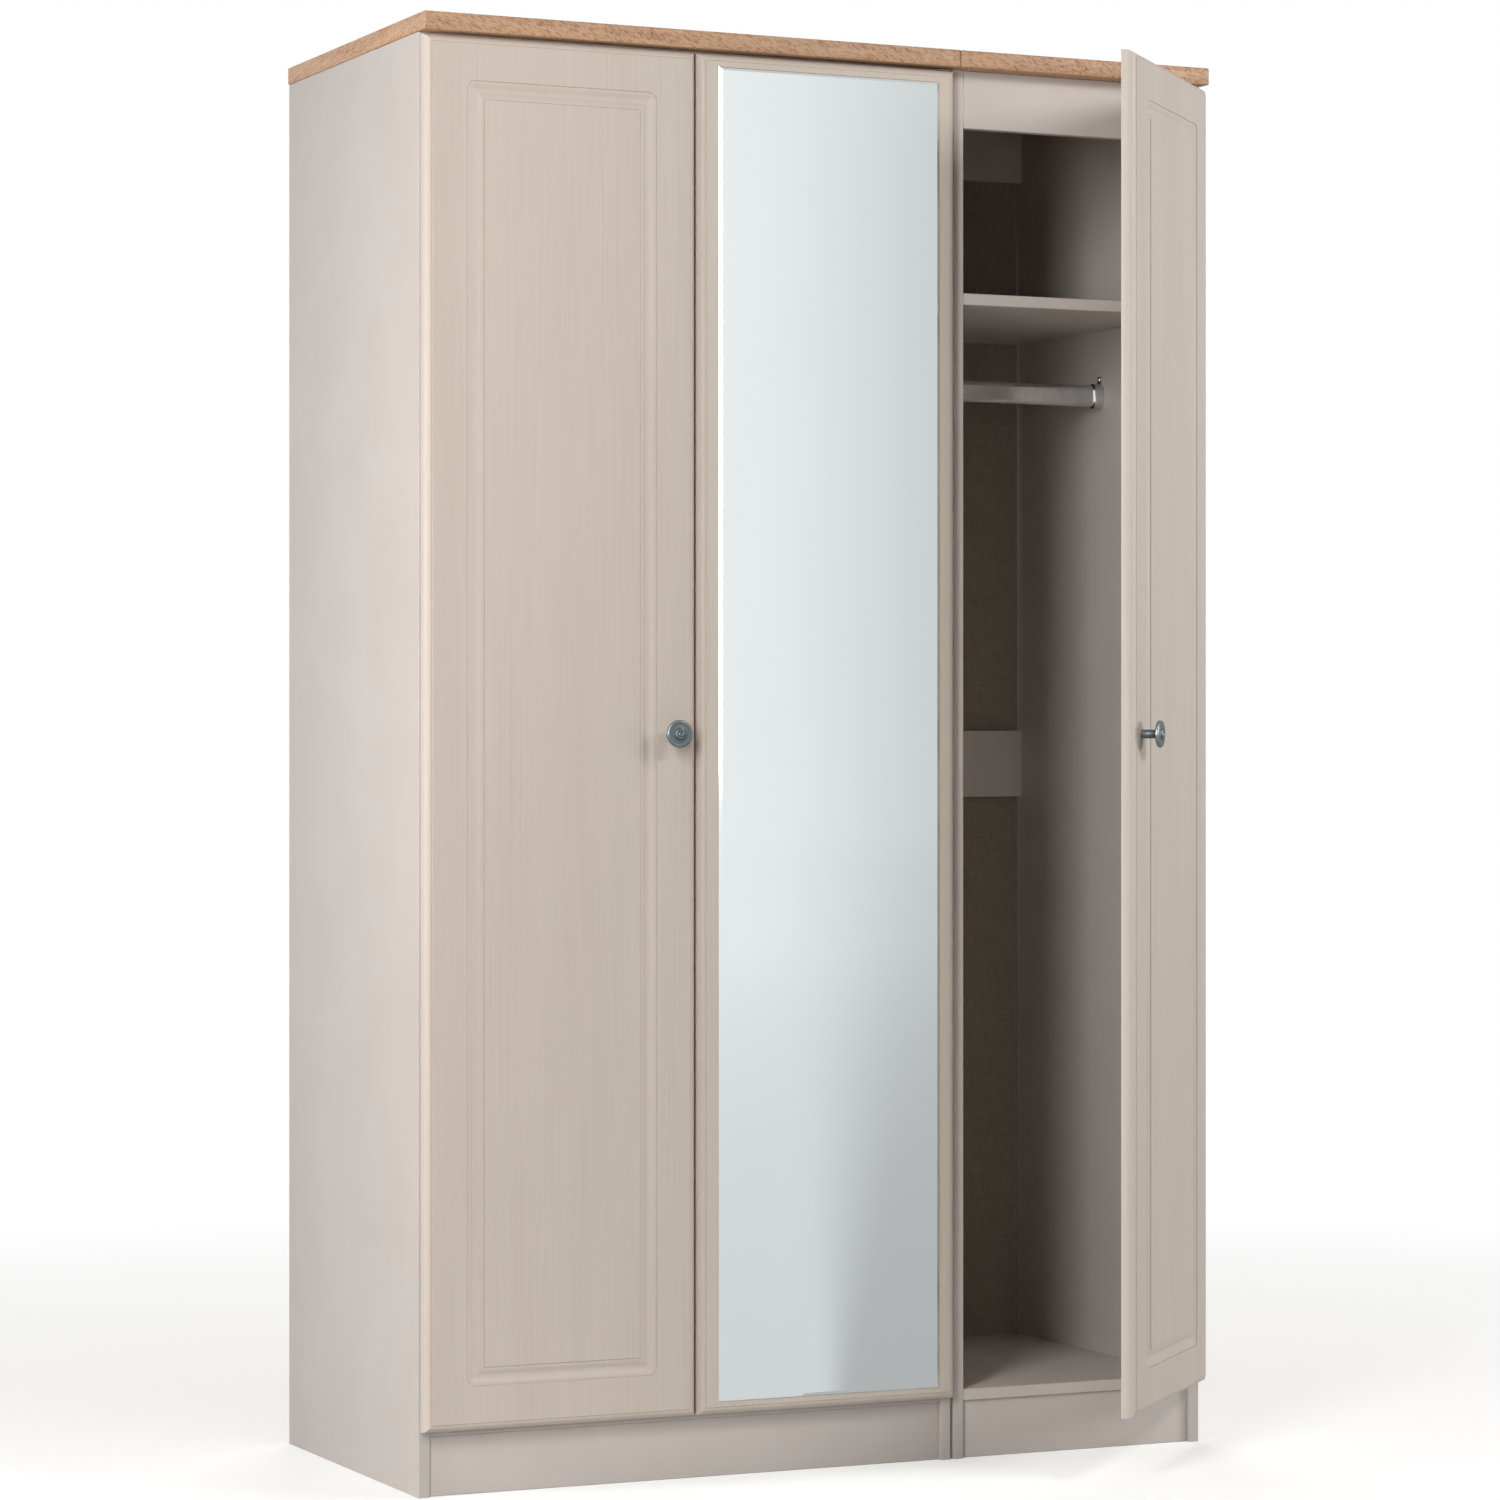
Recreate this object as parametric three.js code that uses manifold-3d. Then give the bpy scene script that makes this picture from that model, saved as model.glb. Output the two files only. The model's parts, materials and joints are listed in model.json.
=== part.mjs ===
// A triple wardrobe: a two-door robe and a one-door robe, bolted side by side.
// Each robe is a carcass of 15 mm board on a plinth, under its own oak-finished top.
// Three overlay doors hang on concealed cup hinges. The middle one carries a mirror.
// Millimetres, +X to the right, +Y to the back, +Z up, with Z = 0 on the floor.
import * as THREE from "three";
import { mergeVertices } from "three/addons/utils/BufferGeometryUtils.js";
import Module from "manifold-3d";

// Overall sizes
const wardrobeHeight = 1825;
const carcassDepth = 487.4;
const doubleWidth = 735.4;
const singleWidth = 367.3;

// Boards
const board = 15;
const boardEdgeRadius = 1.5;
const backThickness = 3.2;
const rebateWidth = 6; // how far the back panel reaches into a side panel
const jointGap = 0.2; // left between pieces that touch
const flushRecess = 1; // shelf, fascia and base stand this far behind the side panels' edges

// Tops
const topThickness = 22;
const topSideOverhang = 1.8;
const topFrontOverhang = 25.7;
const topCornerRadius = 3;
const topEdgeRound = 1.2;

// Plinth, shelf and rails, by height
const plinthHeight = 75;
const plinthRecess = 6;
const fasciaHeight = 75;
const backRailHeight = 75;
const battenHeight = 94;
const battenTop = 949;
const shelfTop = 1514;
const shelfBackGap = 4;

// Hanging rail: a flat-sided oval tube in two end sockets
const railTall = 30;
const railWide = 15;
const railWall = 1.2;
const railBelowShelf = 91; // from the shelf's underside to the rail's middle
const railFromFront = 239;
const railEndGap = 1;
const socketWall = 2;
const socketReach = 12;
const socketFlange = 2.5;
const socketRunning = 0.3; // clearance round the rail
const earRise = 13;
const earRadius = 5;

// Doors
const doorThickness = 18;
const doorBackGap = 2; // between the carcass front and a door's back
const doorSideReveal = 1.5;
const doorPairGap = 3;
const doorTopGap = 3.9;
const doorBottomRise = 6.4; // above the plinth
const edgeMouldWidth = 9;
const edgeMouldDrop = 14; // from the face to where the roundover meets the edge
const quirk = 1; // the small step beside each moulding
const grooveInset = 55; // from the door's edge to the groove's outer quirk
const grooveWidth = 23;
const grooveDepth = 3.6;
const grooveLand = 2; // the flat strip between the groove's quirk and its hollow
const mouldSteps = 6;
const cutterSides = 24;
const cutterOver = 1; // how far a cutting shape runs past the face it cuts

// Mirror
const mirrorSideMargin = 26.2;
const mirrorEndMargin = 17;
const mirrorThickness = 4;
const mirrorBevelWidth = 4;
const mirrorBevelDrop = 2.8;

// Knobs and their screws
const knobInset = 34.5; // from the door's free edge
const knobHeadRadius = 17.5;
const knobReach = 28;
const knobStemRadius = 5.6;
const knobFootRadius = 6.2;
const knobFootHeight = 1;
const knobHeadHeight = 7;
const knobSides = 32;
const screwRadius = 2;
const screwClearance = 0.4;
const screwHeadRadius = 4.4;
const screwHeadHeight = 1.7;
const screwIntoKnob = 9;

// Concealed hinges
const hingeEndDistance = 100; // from a door's end to its outer hinges
const pivotFromEdge = 1.5; // the virtual pivot, in from the door's hinge edge
const pivotFromBack = 9; // and in front of the door's back face
const cupFromEdge = 22.5; // to the cup's centre
const cupRadius = 17.5;
const cupDepth = 11.5;
const cupWall = 1.6;
const cupFlangeTall = 58;
const cupFlangeWide = 24;
const cupFlangeThickness = 1;
const cupSides = 32;
const boreClearance = 0.25;
const armTall = 14;
const armReach = 5; // how far the arm's nose enters the closed cup
const armRise = 15; // from the side panel to the arm's far face
const armMetal = 4.5;
const armNoseWidth = 5;
const plateFromFront = 37; // to the mounting plate's centre
const plateTall = 48;
const plateWide = 30;
const plateThickness = 3;

// Bolts that join the two carcasses
const boltRadius = 3;
const boltHoleClearance = 0.4;
const boltHeadRadius = 7;
const boltHeadHeight = 1.6;
const boltFromFace = 52; // from the front and the back of the carcass
const boltFromEnd = 140; // above the base and below the shelf

// How far each door stands open in the assembled group, in degrees
const leftDoorOpening = 0;
const mirrorDoorOpening = 0;
const rightDoorOpening = 45;

// Sizes that follow from the ones above
const carcassTop = wardrobeHeight - topThickness;
const baseTop = plinthHeight + board;
const carcassGap = 2 * topSideOverhang + jointGap;
const carcassesWidth = doubleWidth + carcassGap + singleWidth;
const singleLeft = doubleWidth + carcassGap;
const backFront = carcassDepth - jointGap - backThickness;
const doorBottom = plinthHeight + doorBottomRise;
const doorHeight = carcassTop - doorTopGap - doorBottom;
const doorWidthOfPair = (doubleWidth - 2 * doorSideReveal - doorPairGap) / 2;
const doorWidthSingle = singleWidth - 2 * doorSideReveal;
const grooveHalf = grooveWidth / 2;
const railHeight = shelfTop - board - railBelowShelf;

const wasm = await Module();
wasm.setup();

const finishes = {
  carcass: { color: "#c6bcb4", roughness: 0.6, metalness: 0 },
  door: { color: "#cdc1b4", roughness: 0.55, metalness: 0 },
  oak: { color: "#c09a78", roughness: 0.6, metalness: 0 },
  hardboard: { color: "#5a554e", roughness: 0.9, metalness: 0 },
  mirror: { color: "#e8eded", roughness: 0.05, metalness: 1 },
  pewter: { color: "#7c8284", roughness: 0.35, metalness: 1 },
  nickel: { color: "#b9bcbd", roughness: 0.3, metalness: 1 },
  chrome: { color: "#c9cccd", roughness: 0.15, metalness: 1 },
};

function piece(name, finish, geometry) {
  const mesh = new THREE.Mesh(geometry, new THREE.MeshStandardMaterial(finishes[finish]));
  mesh.name = name;
  return mesh;
}

// Joining and cutting of closed shapes
function solidOf(geometry) {
  const bare = geometry.clone();
  bare.deleteAttribute("normal");
  bare.deleteAttribute("uv");
  const merged = mergeVertices(bare, 1e-4);
  return new wasm.Manifold(
    new wasm.Mesh({
      numProp: 3,
      vertProperties: new Float32Array(merged.attributes.position.array),
      triVerts: new Uint32Array(merged.index.array),
    }),
  );
}

function geometryOf(solid) {
  const mesh = solid.getMesh();
  const geometry = new THREE.BufferGeometry();
  geometry.setAttribute("position", new THREE.BufferAttribute(mesh.vertProperties, 3));
  geometry.setIndex(new THREE.BufferAttribute(mesh.triVerts, 1));
  const loose = geometry.toNonIndexed();
  loose.computeVertexNormals();
  return loose;
}

function joined(geometries) {
  return geometryOf(geometries.map(solidOf).reduce((sum, next) => sum.add(next)));
}

function cut(body, cutters) {
  return geometryOf(cutters.map(solidOf).reduce((rest, next) => rest.subtract(next), solidOf(body)));
}

// Outlines and straight pieces
function outline(points) {
  return new THREE.Shape(points.map(([x, y]) => new THREE.Vector2(x, y)));
}

// A rectangle whose corners have their own radii, listed anticlockwise from the lower left.
function roundedOutline(x0, y0, x1, y1, radii) {
  const [lowLeft, lowRight, highRight, highLeft] = radii;
  const shape = new THREE.Shape();
  shape.moveTo(x0 + lowLeft, y0);
  shape.lineTo(x1 - lowRight, y0);
  if (lowRight) shape.absarc(x1 - lowRight, y0 + lowRight, lowRight, -Math.PI / 2, 0, false);
  shape.lineTo(x1, y1 - highRight);
  if (highRight) shape.absarc(x1 - highRight, y1 - highRight, highRight, 0, Math.PI / 2, false);
  shape.lineTo(x0 + highLeft, y1);
  if (highLeft) shape.absarc(x0 + highLeft, y1 - highLeft, highLeft, Math.PI / 2, Math.PI, false);
  shape.lineTo(x0, y0 + lowLeft);
  if (lowLeft) shape.absarc(x0 + lowLeft, y0 + lowLeft, lowLeft, Math.PI, 1.5 * Math.PI, false);
  return shape;
}

function extruded(shape, length, steps = 3) {
  return new THREE.ExtrudeGeometry(shape, {
    depth: length,
    bevelEnabled: false,
    curveSegments: steps,
  });
}

function box(x0, y0, z0, x1, y1, z1) {
  const geometry = new THREE.BoxGeometry(x1 - x0, y1 - y0, z1 - z0);
  return geometry.translate((x0 + x1) / 2, (y0 + y1) / 2, (z0 + z1) / 2);
}

function rod(radius, length, sides) {
  // along +Y from the origin
  const geometry = new THREE.CylinderGeometry(radius, radius, length, sides);
  return geometry.translate(0, length / 2, 0);
}

// Turns a profile drawn in (Y, Z) and extruded along its own Z into a piece along X.
const axisX = new THREE.Vector3(1, 0, 0);
const axisY = new THREE.Vector3(0, 1, 0);
const axisZ = new THREE.Vector3(0, 0, 1);
const layAlongX = new THREE.Matrix4().makeBasis(axisY, axisZ, axisX);

// A board along X whose front edges are rounded.
function crossBoard(name, span, y0, z0, y1, z1) {
  const r = boardEdgeRadius;
  const profile = roundedOutline(y0, z0, y1, z1, [r, 0, 0, r]);
  const mesh = piece(name, "carcass", extruded(profile, span).applyMatrix4(layAlongX));
  return mesh;
}

// An upright side panel, rounded in front and rebated behind for the back panel.
function sidePanel(name, innerOnRight, cutters) {
  const r = boardEdgeRadius;
  const rebateFront = backFront - jointGap;
  const shape = new THREE.Shape();
  shape.moveTo(r, 0);
  shape.lineTo(board - r, 0);
  shape.absarc(board - r, r, r, -Math.PI / 2, 0, false);
  shape.lineTo(board, rebateFront);
  shape.lineTo(board - rebateWidth, rebateFront);
  shape.lineTo(board - rebateWidth, carcassDepth);
  shape.lineTo(0, carcassDepth);
  shape.lineTo(0, r);
  shape.absarc(r, r, r, Math.PI, 1.5 * Math.PI, false);
  let geometry = extruded(shape, carcassTop - jointGap);
  if (!innerOnRight) {
    geometry.applyMatrix4(new THREE.Matrix4().makeRotationY(Math.PI));
    geometry.translate(board, 0, carcassTop - jointGap);
  }
  if (cutters.length) geometry = cut(geometry, cutters);
  return piece(name, "carcass", geometry);
}

function topBoard(name, carcassWidth) {
  const width = carcassWidth + 2 * topSideOverhang;
  const depth = carcassDepth + topFrontOverhang;
  const r = topCornerRadius;
  const geometry = new THREE.ExtrudeGeometry(roundedOutline(0, 0, width, depth, [r, r, 0, 0]), {
    depth: topThickness - 2 * topEdgeRound,
    bevelEnabled: true,
    bevelThickness: topEdgeRound,
    bevelSize: topEdgeRound,
    bevelOffset: -topEdgeRound,
    bevelSegments: 2,
    curveSegments: 4,
  });
  const mesh = piece(name, "oak", geometry);
  mesh.position.set(-topSideOverhang, -topFrontOverhang, carcassTop + topEdgeRound);
  return mesh;
}

function ovalOutline(wide, tall) {
  const r = wide / 2;
  return roundedOutline(-r, -tall / 2, r, tall / 2, [r, r, r, r]);
}

function hangingRail(name, length) {
  const shape = ovalOutline(railWide, railTall);
  shape.holes.push(ovalOutline(railWide - 2 * railWall, railTall - 2 * railWall));
  return piece(name, "chrome", extruded(shape, length, 6).applyMatrix4(layAlongX));
}

// A socket on the left-hand side panel: a flange with a screw ear, and a collar round the rail.
function railSocket(name) {
  const opening = socketRunning * 2;
  const hollow = ovalOutline(railWide + opening, railTall + opening);
  const outer = ovalOutline(railWide + opening + 2 * socketWall, railTall + opening + 2 * socketWall);
  const earCentre = railTall / 2 + earRise;
  const ear = roundedOutline(-earRadius, 0, earRadius, earCentre, [0, 0, earRadius, earRadius]);
  const collar = outer.clone();
  collar.holes.push(hollow);
  const flange = joined([extruded(outer, socketFlange, 6), extruded(ear, socketFlange, 6)]);
  const tube = extruded(collar, socketReach, 6).translate(0, 0, socketFlange / 2);
  return piece(name, "nickel", joined([flange, tube]).applyMatrix4(layAlongX));
}

// Doors are drawn closed. Their hinge edge is at X = 0 and the door runs to -X, so that a
// right-hung door needs no turning and a left-hung one is mirrored. Y = 0 is the back face.
function mouldCurve(width, drop) {
  const points = [];
  for (let i = 0; i <= mouldSteps; i++) {
    const angle = (i / mouldSteps) * (Math.PI / 2);
    points.push([width * (1 - Math.cos(angle)), drop * (1 - Math.sin(angle))]);
  }
  return points; // from the steep foot of the moulding to its flat crest
}

// The waste of the edge moulding along one edge: X inwards from the edge, Y below the face.
function edgeCutter(length) {
  const curve = mouldCurve(edgeMouldWidth, edgeMouldDrop - quirk).map(([x, y]) => [x, -quirk - y]);
  const waste = [[-cutterOver, -edgeMouldDrop], ...curve];
  waste.push([edgeMouldWidth, cutterOver], [-cutterOver, cutterOver]);
  return extruded(outline(waste), length + 2 * cutterOver).translate(0, 0, -cutterOver);
}

// The four edge cutters of a face that spans X from -width to 0 and Z from 0 to height.
function edgeCutters(width, height) {
  const face = -doorThickness;
  const into = new THREE.Vector3(0, -1, 0);
  const place = (inward, along, x, z, length) => {
    const basis = new THREE.Matrix4().makeBasis(inward, into, along);
    return edgeCutter(length).applyMatrix4(basis).translate(x, face, z);
  };
  const right = axisX.clone();
  const left = axisX.clone().negate();
  const up = axisZ.clone();
  const down = axisZ.clone().negate();
  return [
    place(right, down, -width, height, height),
    place(left, up, 0, 0, height),
    place(up, right, -width, 0, width),
    place(down, left, 0, height, width),
  ];
}

// Half of the groove's section: a soft hollow, a flat land and the quirk, from the middle outwards.
function grooveCurve() {
  const reach = grooveHalf - grooveLand;
  const points = [];
  for (let i = 0; i <= mouldSteps; i++) {
    const fall = (1 + Math.cos((i / mouldSteps) * Math.PI)) / 2;
    points.push([(reach * i) / mouldSteps, -quirk - (grooveDepth - quirk) * fall]);
  }
  return [...points, [grooveHalf, -quirk]];
}

// The groove is what a round bit leaves when it is led round a rectangle:
// four straight runs, with the bit's own round shape at each corner.
function grooveCutters(width, height) {
  const curve = grooveCurve();
  const bit = [...curve, [grooveHalf, cutterOver], [0, cutterOver]];
  const mirrored = curve.slice(1).reverse().map(([x, y]) => [-x, y]);
  const section = [...mirrored, ...curve, [grooveHalf, cutterOver], [-grooveHalf, cutterOver]];
  const inset = grooveInset + grooveHalf;
  const face = -doorThickness;
  const into = new THREE.Vector3(0, -1, 0);
  const run = (along, x, z, length) => {
    const across = new THREE.Vector3().crossVectors(into, along);
    const basis = new THREE.Matrix4().makeBasis(across, into, along);
    return extruded(outline(section), length).applyMatrix4(basis).translate(x, face, z);
  };
  const wide = width - 2 * inset;
  const tall = height - 2 * inset;
  const cutters = [
    run(axisZ, -inset, inset, tall),
    run(axisZ, inset - width, inset, tall),
    run(axisX, inset - width, inset, wide),
    run(axisX, inset - width, height - inset, wide),
  ];
  for (const x of [-inset, inset - width]) {
    for (const z of [inset, height - inset]) {
      const turned = new THREE.LatheGeometry(
        bit.map(([r, y]) => new THREE.Vector2(r, y)),
        cutterSides,
      );
      const upsideDown = new THREE.Matrix4().makeRotationX(Math.PI);
      cutters.push(turned.applyMatrix4(upsideDown).translate(x, face, z));
    }
  }
  return cutters;
}

function hingeHeights(height) {
  return [hingeEndDistance, height / 2, height - hingeEndDistance];
}

function hingeBores(height) {
  return hingeHeights(height).map((z) => {
    const deep = cupDepth + boreClearance;
    const bore = rod(cupRadius + boreClearance, deep + cutterOver, cupSides);
    return bore.translate(-cupFromEdge, -deep, z);
  });
}

function knobBore(width, height) {
  const bore = rod(screwRadius + screwClearance, doorThickness + 2 * cutterOver, cutterSides / 2);
  return bore.translate(knobInset - width, -doorThickness - cutterOver, height / 2);
}

function doorLeaf(name, width, height, grooved) {
  const blank = box(-width, -doorThickness, 0, 0, 0, height);
  const cutters = [...edgeCutters(width, height), ...hingeBores(height)];
  if (grooved) cutters.push(...grooveCutters(width, height), knobBore(width, height));
  return piece(name, "door", cut(blank, cutters));
}

function mirrorGlass(name, width, height) {
  const wide = width - 2 * mirrorSideMargin;
  const tall = height - 2 * mirrorEndMargin;
  const shape = roundedOutline(0, 0, wide, tall, [0, 0, 0, 0]);
  const seat = mirrorThickness - mirrorBevelDrop;
  const bevelled = new THREE.ExtrudeGeometry(shape, {
    depth: seat,
    bevelEnabled: true,
    bevelThickness: mirrorBevelDrop,
    bevelSize: mirrorBevelWidth,
    bevelOffset: -mirrorBevelWidth,
    bevelSegments: 1,
  });
  const behind = box(-cutterOver, -cutterOver, -mirrorThickness, wide + cutterOver, tall + cutterOver, 0);
  const glass = cut(joined([extruded(shape, seat), bevelled]), [behind]);
  const stand = new THREE.Matrix4().makeRotationX(Math.PI / 2);
  const mesh = piece(name, "mirror", glass.applyMatrix4(stand));
  mesh.position.set(mirrorSideMargin - width, -doorThickness - jointGap, mirrorEndMargin);
  return mesh;
}

// A turned knob: a straight stem, and a dished head with a rolled rim and a raised boss.
function knob(name) {
  const socket = screwRadius + screwClearance / 2;
  const rimBack = knobReach - knobHeadHeight;
  const profile = [
    [socket, 0],
    [knobFootRadius, 0],
    [knobFootRadius, knobFootHeight],
    [knobStemRadius, knobFootHeight * 1.5],
    [knobStemRadius, rimBack - knobHeadHeight * 0.3],
    [knobHeadRadius * 0.5, rimBack - knobHeadHeight * 0.1],
    [knobHeadRadius * 0.9, rimBack],
    [knobHeadRadius, rimBack + knobHeadHeight * 0.25],
    [knobHeadRadius, rimBack + knobHeadHeight * 0.5],
    [knobHeadRadius * 0.9, rimBack + knobHeadHeight * 0.72],
    [knobHeadRadius * 0.68, rimBack + knobHeadHeight * 0.66],
    [knobHeadRadius * 0.55, rimBack + knobHeadHeight * 0.6],
    [knobHeadRadius * 0.42, rimBack + knobHeadHeight * 0.85],
    [knobHeadRadius * 0.2, knobReach],
    [0, knobReach],
    [0, screwIntoKnob + screwClearance],
    [socket, screwIntoKnob + screwClearance],
    [socket, 0],
  ];
  const geometry = new THREE.LatheGeometry(
    profile.map(([r, y]) => new THREE.Vector2(r, y)),
    knobSides,
  );
  return piece(name, "pewter", geometry.applyMatrix4(new THREE.Matrix4().makeRotationX(Math.PI)));
}

function knobScrew(name) {
  const profile = [
    [0, 0],
    [screwRadius, 0],
    [screwRadius, doorThickness + screwIntoKnob],
    [screwHeadRadius, doorThickness + screwIntoKnob],
    [screwHeadRadius * 0.75, doorThickness + screwIntoKnob + screwHeadHeight],
    [0, doorThickness + screwIntoKnob + screwHeadHeight],
  ];
  const geometry = new THREE.LatheGeometry(
    profile.map(([r, y]) => new THREE.Vector2(r, y)),
    cutterSides / 2,
  );
  return piece(name, "nickel", geometry);
}

// The cup of a hinge, in the door's own frame with its centre on X = 0, Z = 0.
function hingeCup(name) {
  const shell = rod(cupRadius, cupDepth, cupSides).translate(0, -cupDepth, 0);
  const lowZ = -cupFlangeTall / 2;
  const flange = box(-cupFlangeWide / 2, -jointGap, lowZ, cupFlangeWide / 2, cupFlangeThickness, -lowZ);
  const hollow = rod(cupRadius - cupWall, cupDepth + cupFlangeThickness, cupSides);
  const seat = flange.translate(0, jointGap * 1.5, 0);
  const stub = rod(cupRadius, jointGap * 3, cupSides).translate(0, -jointGap, 0);
  const body = joined([shell, stub, seat]);
  return piece(name, "nickel", cut(body, [hollow.translate(0, cupWall - cupDepth, 0)]));
}

// The fixed half of a hinge, on a side panel whose inner face is X = 0 with the room at -X.
// Its mounting plate is screwed to the panel, and its arm reaches forward into the cup.
function hingeArm(name) {
  const noseTip = -doorBackGap - armReach;
  const noseFar = -(cupFromEdge - board + doorSideReveal) - armNoseWidth / 2;
  const noseNear = noseFar + armNoseWidth;
  const heel = plateFromFront + plateWide / 2;
  const profile = [
    [noseFar, noseTip],
    [noseNear, noseTip],
    [noseNear, armMetal],
    [armMetal - armRise, armMetal * 2],
    [armMetal - armRise, plateFromFront - plateWide / 2],
    [-plateThickness / 2, plateFromFront - plateWide / 2],
    [-plateThickness / 2, heel],
    [-armRise, heel],
    [-armRise, armMetal],
  ];
  const arm = extruded(outline(profile), armTall).translate(0, 0, -armTall / 2);
  const halfTall = plateTall / 2;
  const halfWide = plateWide / 2;
  const plateFront = plateFromFront - halfWide;
  const plate = box(-plateThickness, plateFront, -halfTall, -jointGap, plateFront + plateWide, halfTall);
  return piece(name, "nickel", joined([arm, plate]));
}

// A bolt through both neighbouring side panels, with a flat head at each end, along X.
function robeBolt(name) {
  const span = 2 * board + carcassGap + 2 * jointGap;
  const profile = [
    [0, 0],
    [boltHeadRadius, 0],
    [boltHeadRadius, boltHeadHeight],
    [boltRadius, boltHeadHeight],
    [boltRadius, boltHeadHeight + span],
    [boltHeadRadius, boltHeadHeight + span],
    [boltHeadRadius, 2 * boltHeadHeight + span],
    [0, 2 * boltHeadHeight + span],
  ];
  const turned = new THREE.LatheGeometry(
    profile.map(([r, y]) => new THREE.Vector2(r, y)),
    cutterSides / 2,
  );
  const sideways = new THREE.Matrix4().makeRotationZ(-Math.PI / 2);
  return piece(name, "nickel", turned.applyMatrix4(sideways));
}

function boltPlaces() {
  const places = [];
  for (const z of [baseTop + boltFromEnd, shelfTop - board - boltFromEnd]) {
    for (const y of [boltFromFace, carcassDepth - boltFromFace]) places.push([y, z]);
  }
  return places;
}

function boltHoles() {
  return boltPlaces().map(([y, z]) => {
    const hole = rod(boltRadius + boltHoleClearance, board + 2 * cutterOver, cutterSides / 2);
    const sideways = new THREE.Matrix4().makeRotationZ(-Math.PI / 2);
    return hole.applyMatrix4(sideways).translate(-cutterOver, y, z);
  });
}

// One robe's carcass, from X = 0 to its width.
function carcass(prefix, width, boltsOnLeft) {
  const group = new THREE.Group();
  const left = sidePanel(prefix + "_left_side", true, boltsOnLeft ? boltHoles() : []);
  const right = sidePanel(prefix + "_right_side", false, boltsOnLeft ? [] : boltHoles());
  right.position.x = width - board;
  const innerLeft = board + jointGap;
  const span = width - 2 * innerLeft;
  const backOfInside = backFront - jointGap;
  const across = [
    crossBoard(prefix + "_plinth", span, plinthRecess, 0, plinthRecess + board, plinthHeight - jointGap),
    crossBoard(prefix + "_base", span, flushRecess, plinthHeight, backOfInside, baseTop),
    crossBoard(prefix + "_shelf", span, flushRecess, shelfTop - board, backOfInside - shelfBackGap, shelfTop),
    crossBoard(
      prefix + "_fascia",
      span,
      flushRecess,
      carcassTop - fasciaHeight,
      flushRecess + board,
      carcassTop - jointGap,
    ),
    crossBoard(
      prefix + "_back_rail",
      span,
      backOfInside - board,
      carcassTop - backRailHeight,
      backOfInside,
      carcassTop - jointGap,
    ),
    crossBoard(
      prefix + "_mid_batten",
      span,
      backOfInside - board,
      battenTop - battenHeight,
      backOfInside,
      battenTop,
    ),
  ];
  for (const mesh of across) mesh.position.x = innerLeft;

  const backLeft = board - rebateWidth + jointGap;
  const back = piece(
    prefix + "_back_panel",
    "hardboard",
    box(backLeft, backFront, plinthHeight, width - backLeft, backFront + backThickness, carcassTop - jointGap),
  );

  const rail = hangingRail(prefix + "_hanging_rail", span - 2 * (socketFlange + railEndGap));
  rail.position.set(innerLeft + socketFlange + railEndGap, railFromFront, railHeight);
  const leftSocket = railSocket(prefix + "_rail_socket_left");
  leftSocket.position.set(innerLeft, railFromFront, railHeight);
  const rightSocket = railSocket(prefix + "_rail_socket_right");
  rightSocket.rotation.z = Math.PI;
  rightSocket.position.set(width - innerLeft, railFromFront, railHeight);

  group.add(left, right, ...across, back, topBoard(prefix + "_top", width));
  group.add(rail, leftSocket, rightSocket);
  return group;
}

// Mirrors geometry left to right and keeps its faces pointing out.
function flipped(mesh) {
  const loose = mesh.geometry.index ? mesh.geometry.toNonIndexed() : mesh.geometry;
  const position = loose.getAttribute("position");
  const turned = new Float32Array(position.array.length);
  for (let i = 0; i < position.count; i += 3) {
    [0, 2, 1].forEach((from, to) => {
      const at = (i + to) * 3;
      turned[at] = -position.getX(i + from);
      turned[at + 1] = position.getY(i + from);
      turned[at + 2] = position.getZ(i + from);
    });
  }
  const geometry = new THREE.BufferGeometry();
  geometry.setAttribute("position", new THREE.BufferAttribute(turned, 3));
  geometry.computeVertexNormals();
  mesh.geometry = geometry;
  mesh.position.x *= -1;
  return mesh;
}

// A door with its fittings, hung on the hinge edge at X = edge. The group turns about the
// hinges' virtual pivot. The fixed hinge arms are returned apart, because the carcass holds them.
function hungDoor({ prefix, width, edge, side, opening, mirrored }) {
  const leaf = [doorLeaf(prefix + "_door", width, doorHeight, !mirrored)];
  if (mirrored) {
    leaf.push(mirrorGlass(prefix + "_glass", width, doorHeight));
  } else {
    const handle = knob(prefix + "_knob");
    handle.position.set(knobInset - width, -doorThickness - jointGap, doorHeight / 2);
    const screw = knobScrew(prefix + "_knob_screw");
    screw.position.set(knobInset - width, -doorThickness - screwIntoKnob + jointGap, doorHeight / 2);
    leaf.push(handle, screw);
  }
  const arms = [];
  hingeHeights(doorHeight).forEach((z, i) => {
    const cup = hingeCup(prefix + "_hinge_cup_" + (i + 1));
    cup.position.set(-cupFromEdge, 0, z);
    leaf.push(cup);
    const arm = hingeArm(prefix + "_hinge_arm_" + (i + 1));
    arm.position.set(-board + doorSideReveal, 0, doorBottom + z);
    arms.push(arm);
  });
  if (side < 0) [...leaf, ...arms].forEach(flipped);

  const door = new THREE.Group();
  door.position.set(edge - side * pivotFromEdge, -doorBackGap - pivotFromBack, doorBottom);
  door.rotation.z = THREE.MathUtils.degToRad(side * opening);
  for (const mesh of leaf) {
    mesh.position.x += side * pivotFromEdge;
    mesh.position.y += pivotFromBack;
  }
  door.add(...leaf);
  for (const arm of arms) arm.position.x += edge;
  return { door, arms };
}

const doubleRobe = carcass("double", doubleWidth, false);
const singleRobe = carcass("single", singleWidth, true);
singleRobe.position.x = singleLeft;

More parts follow.
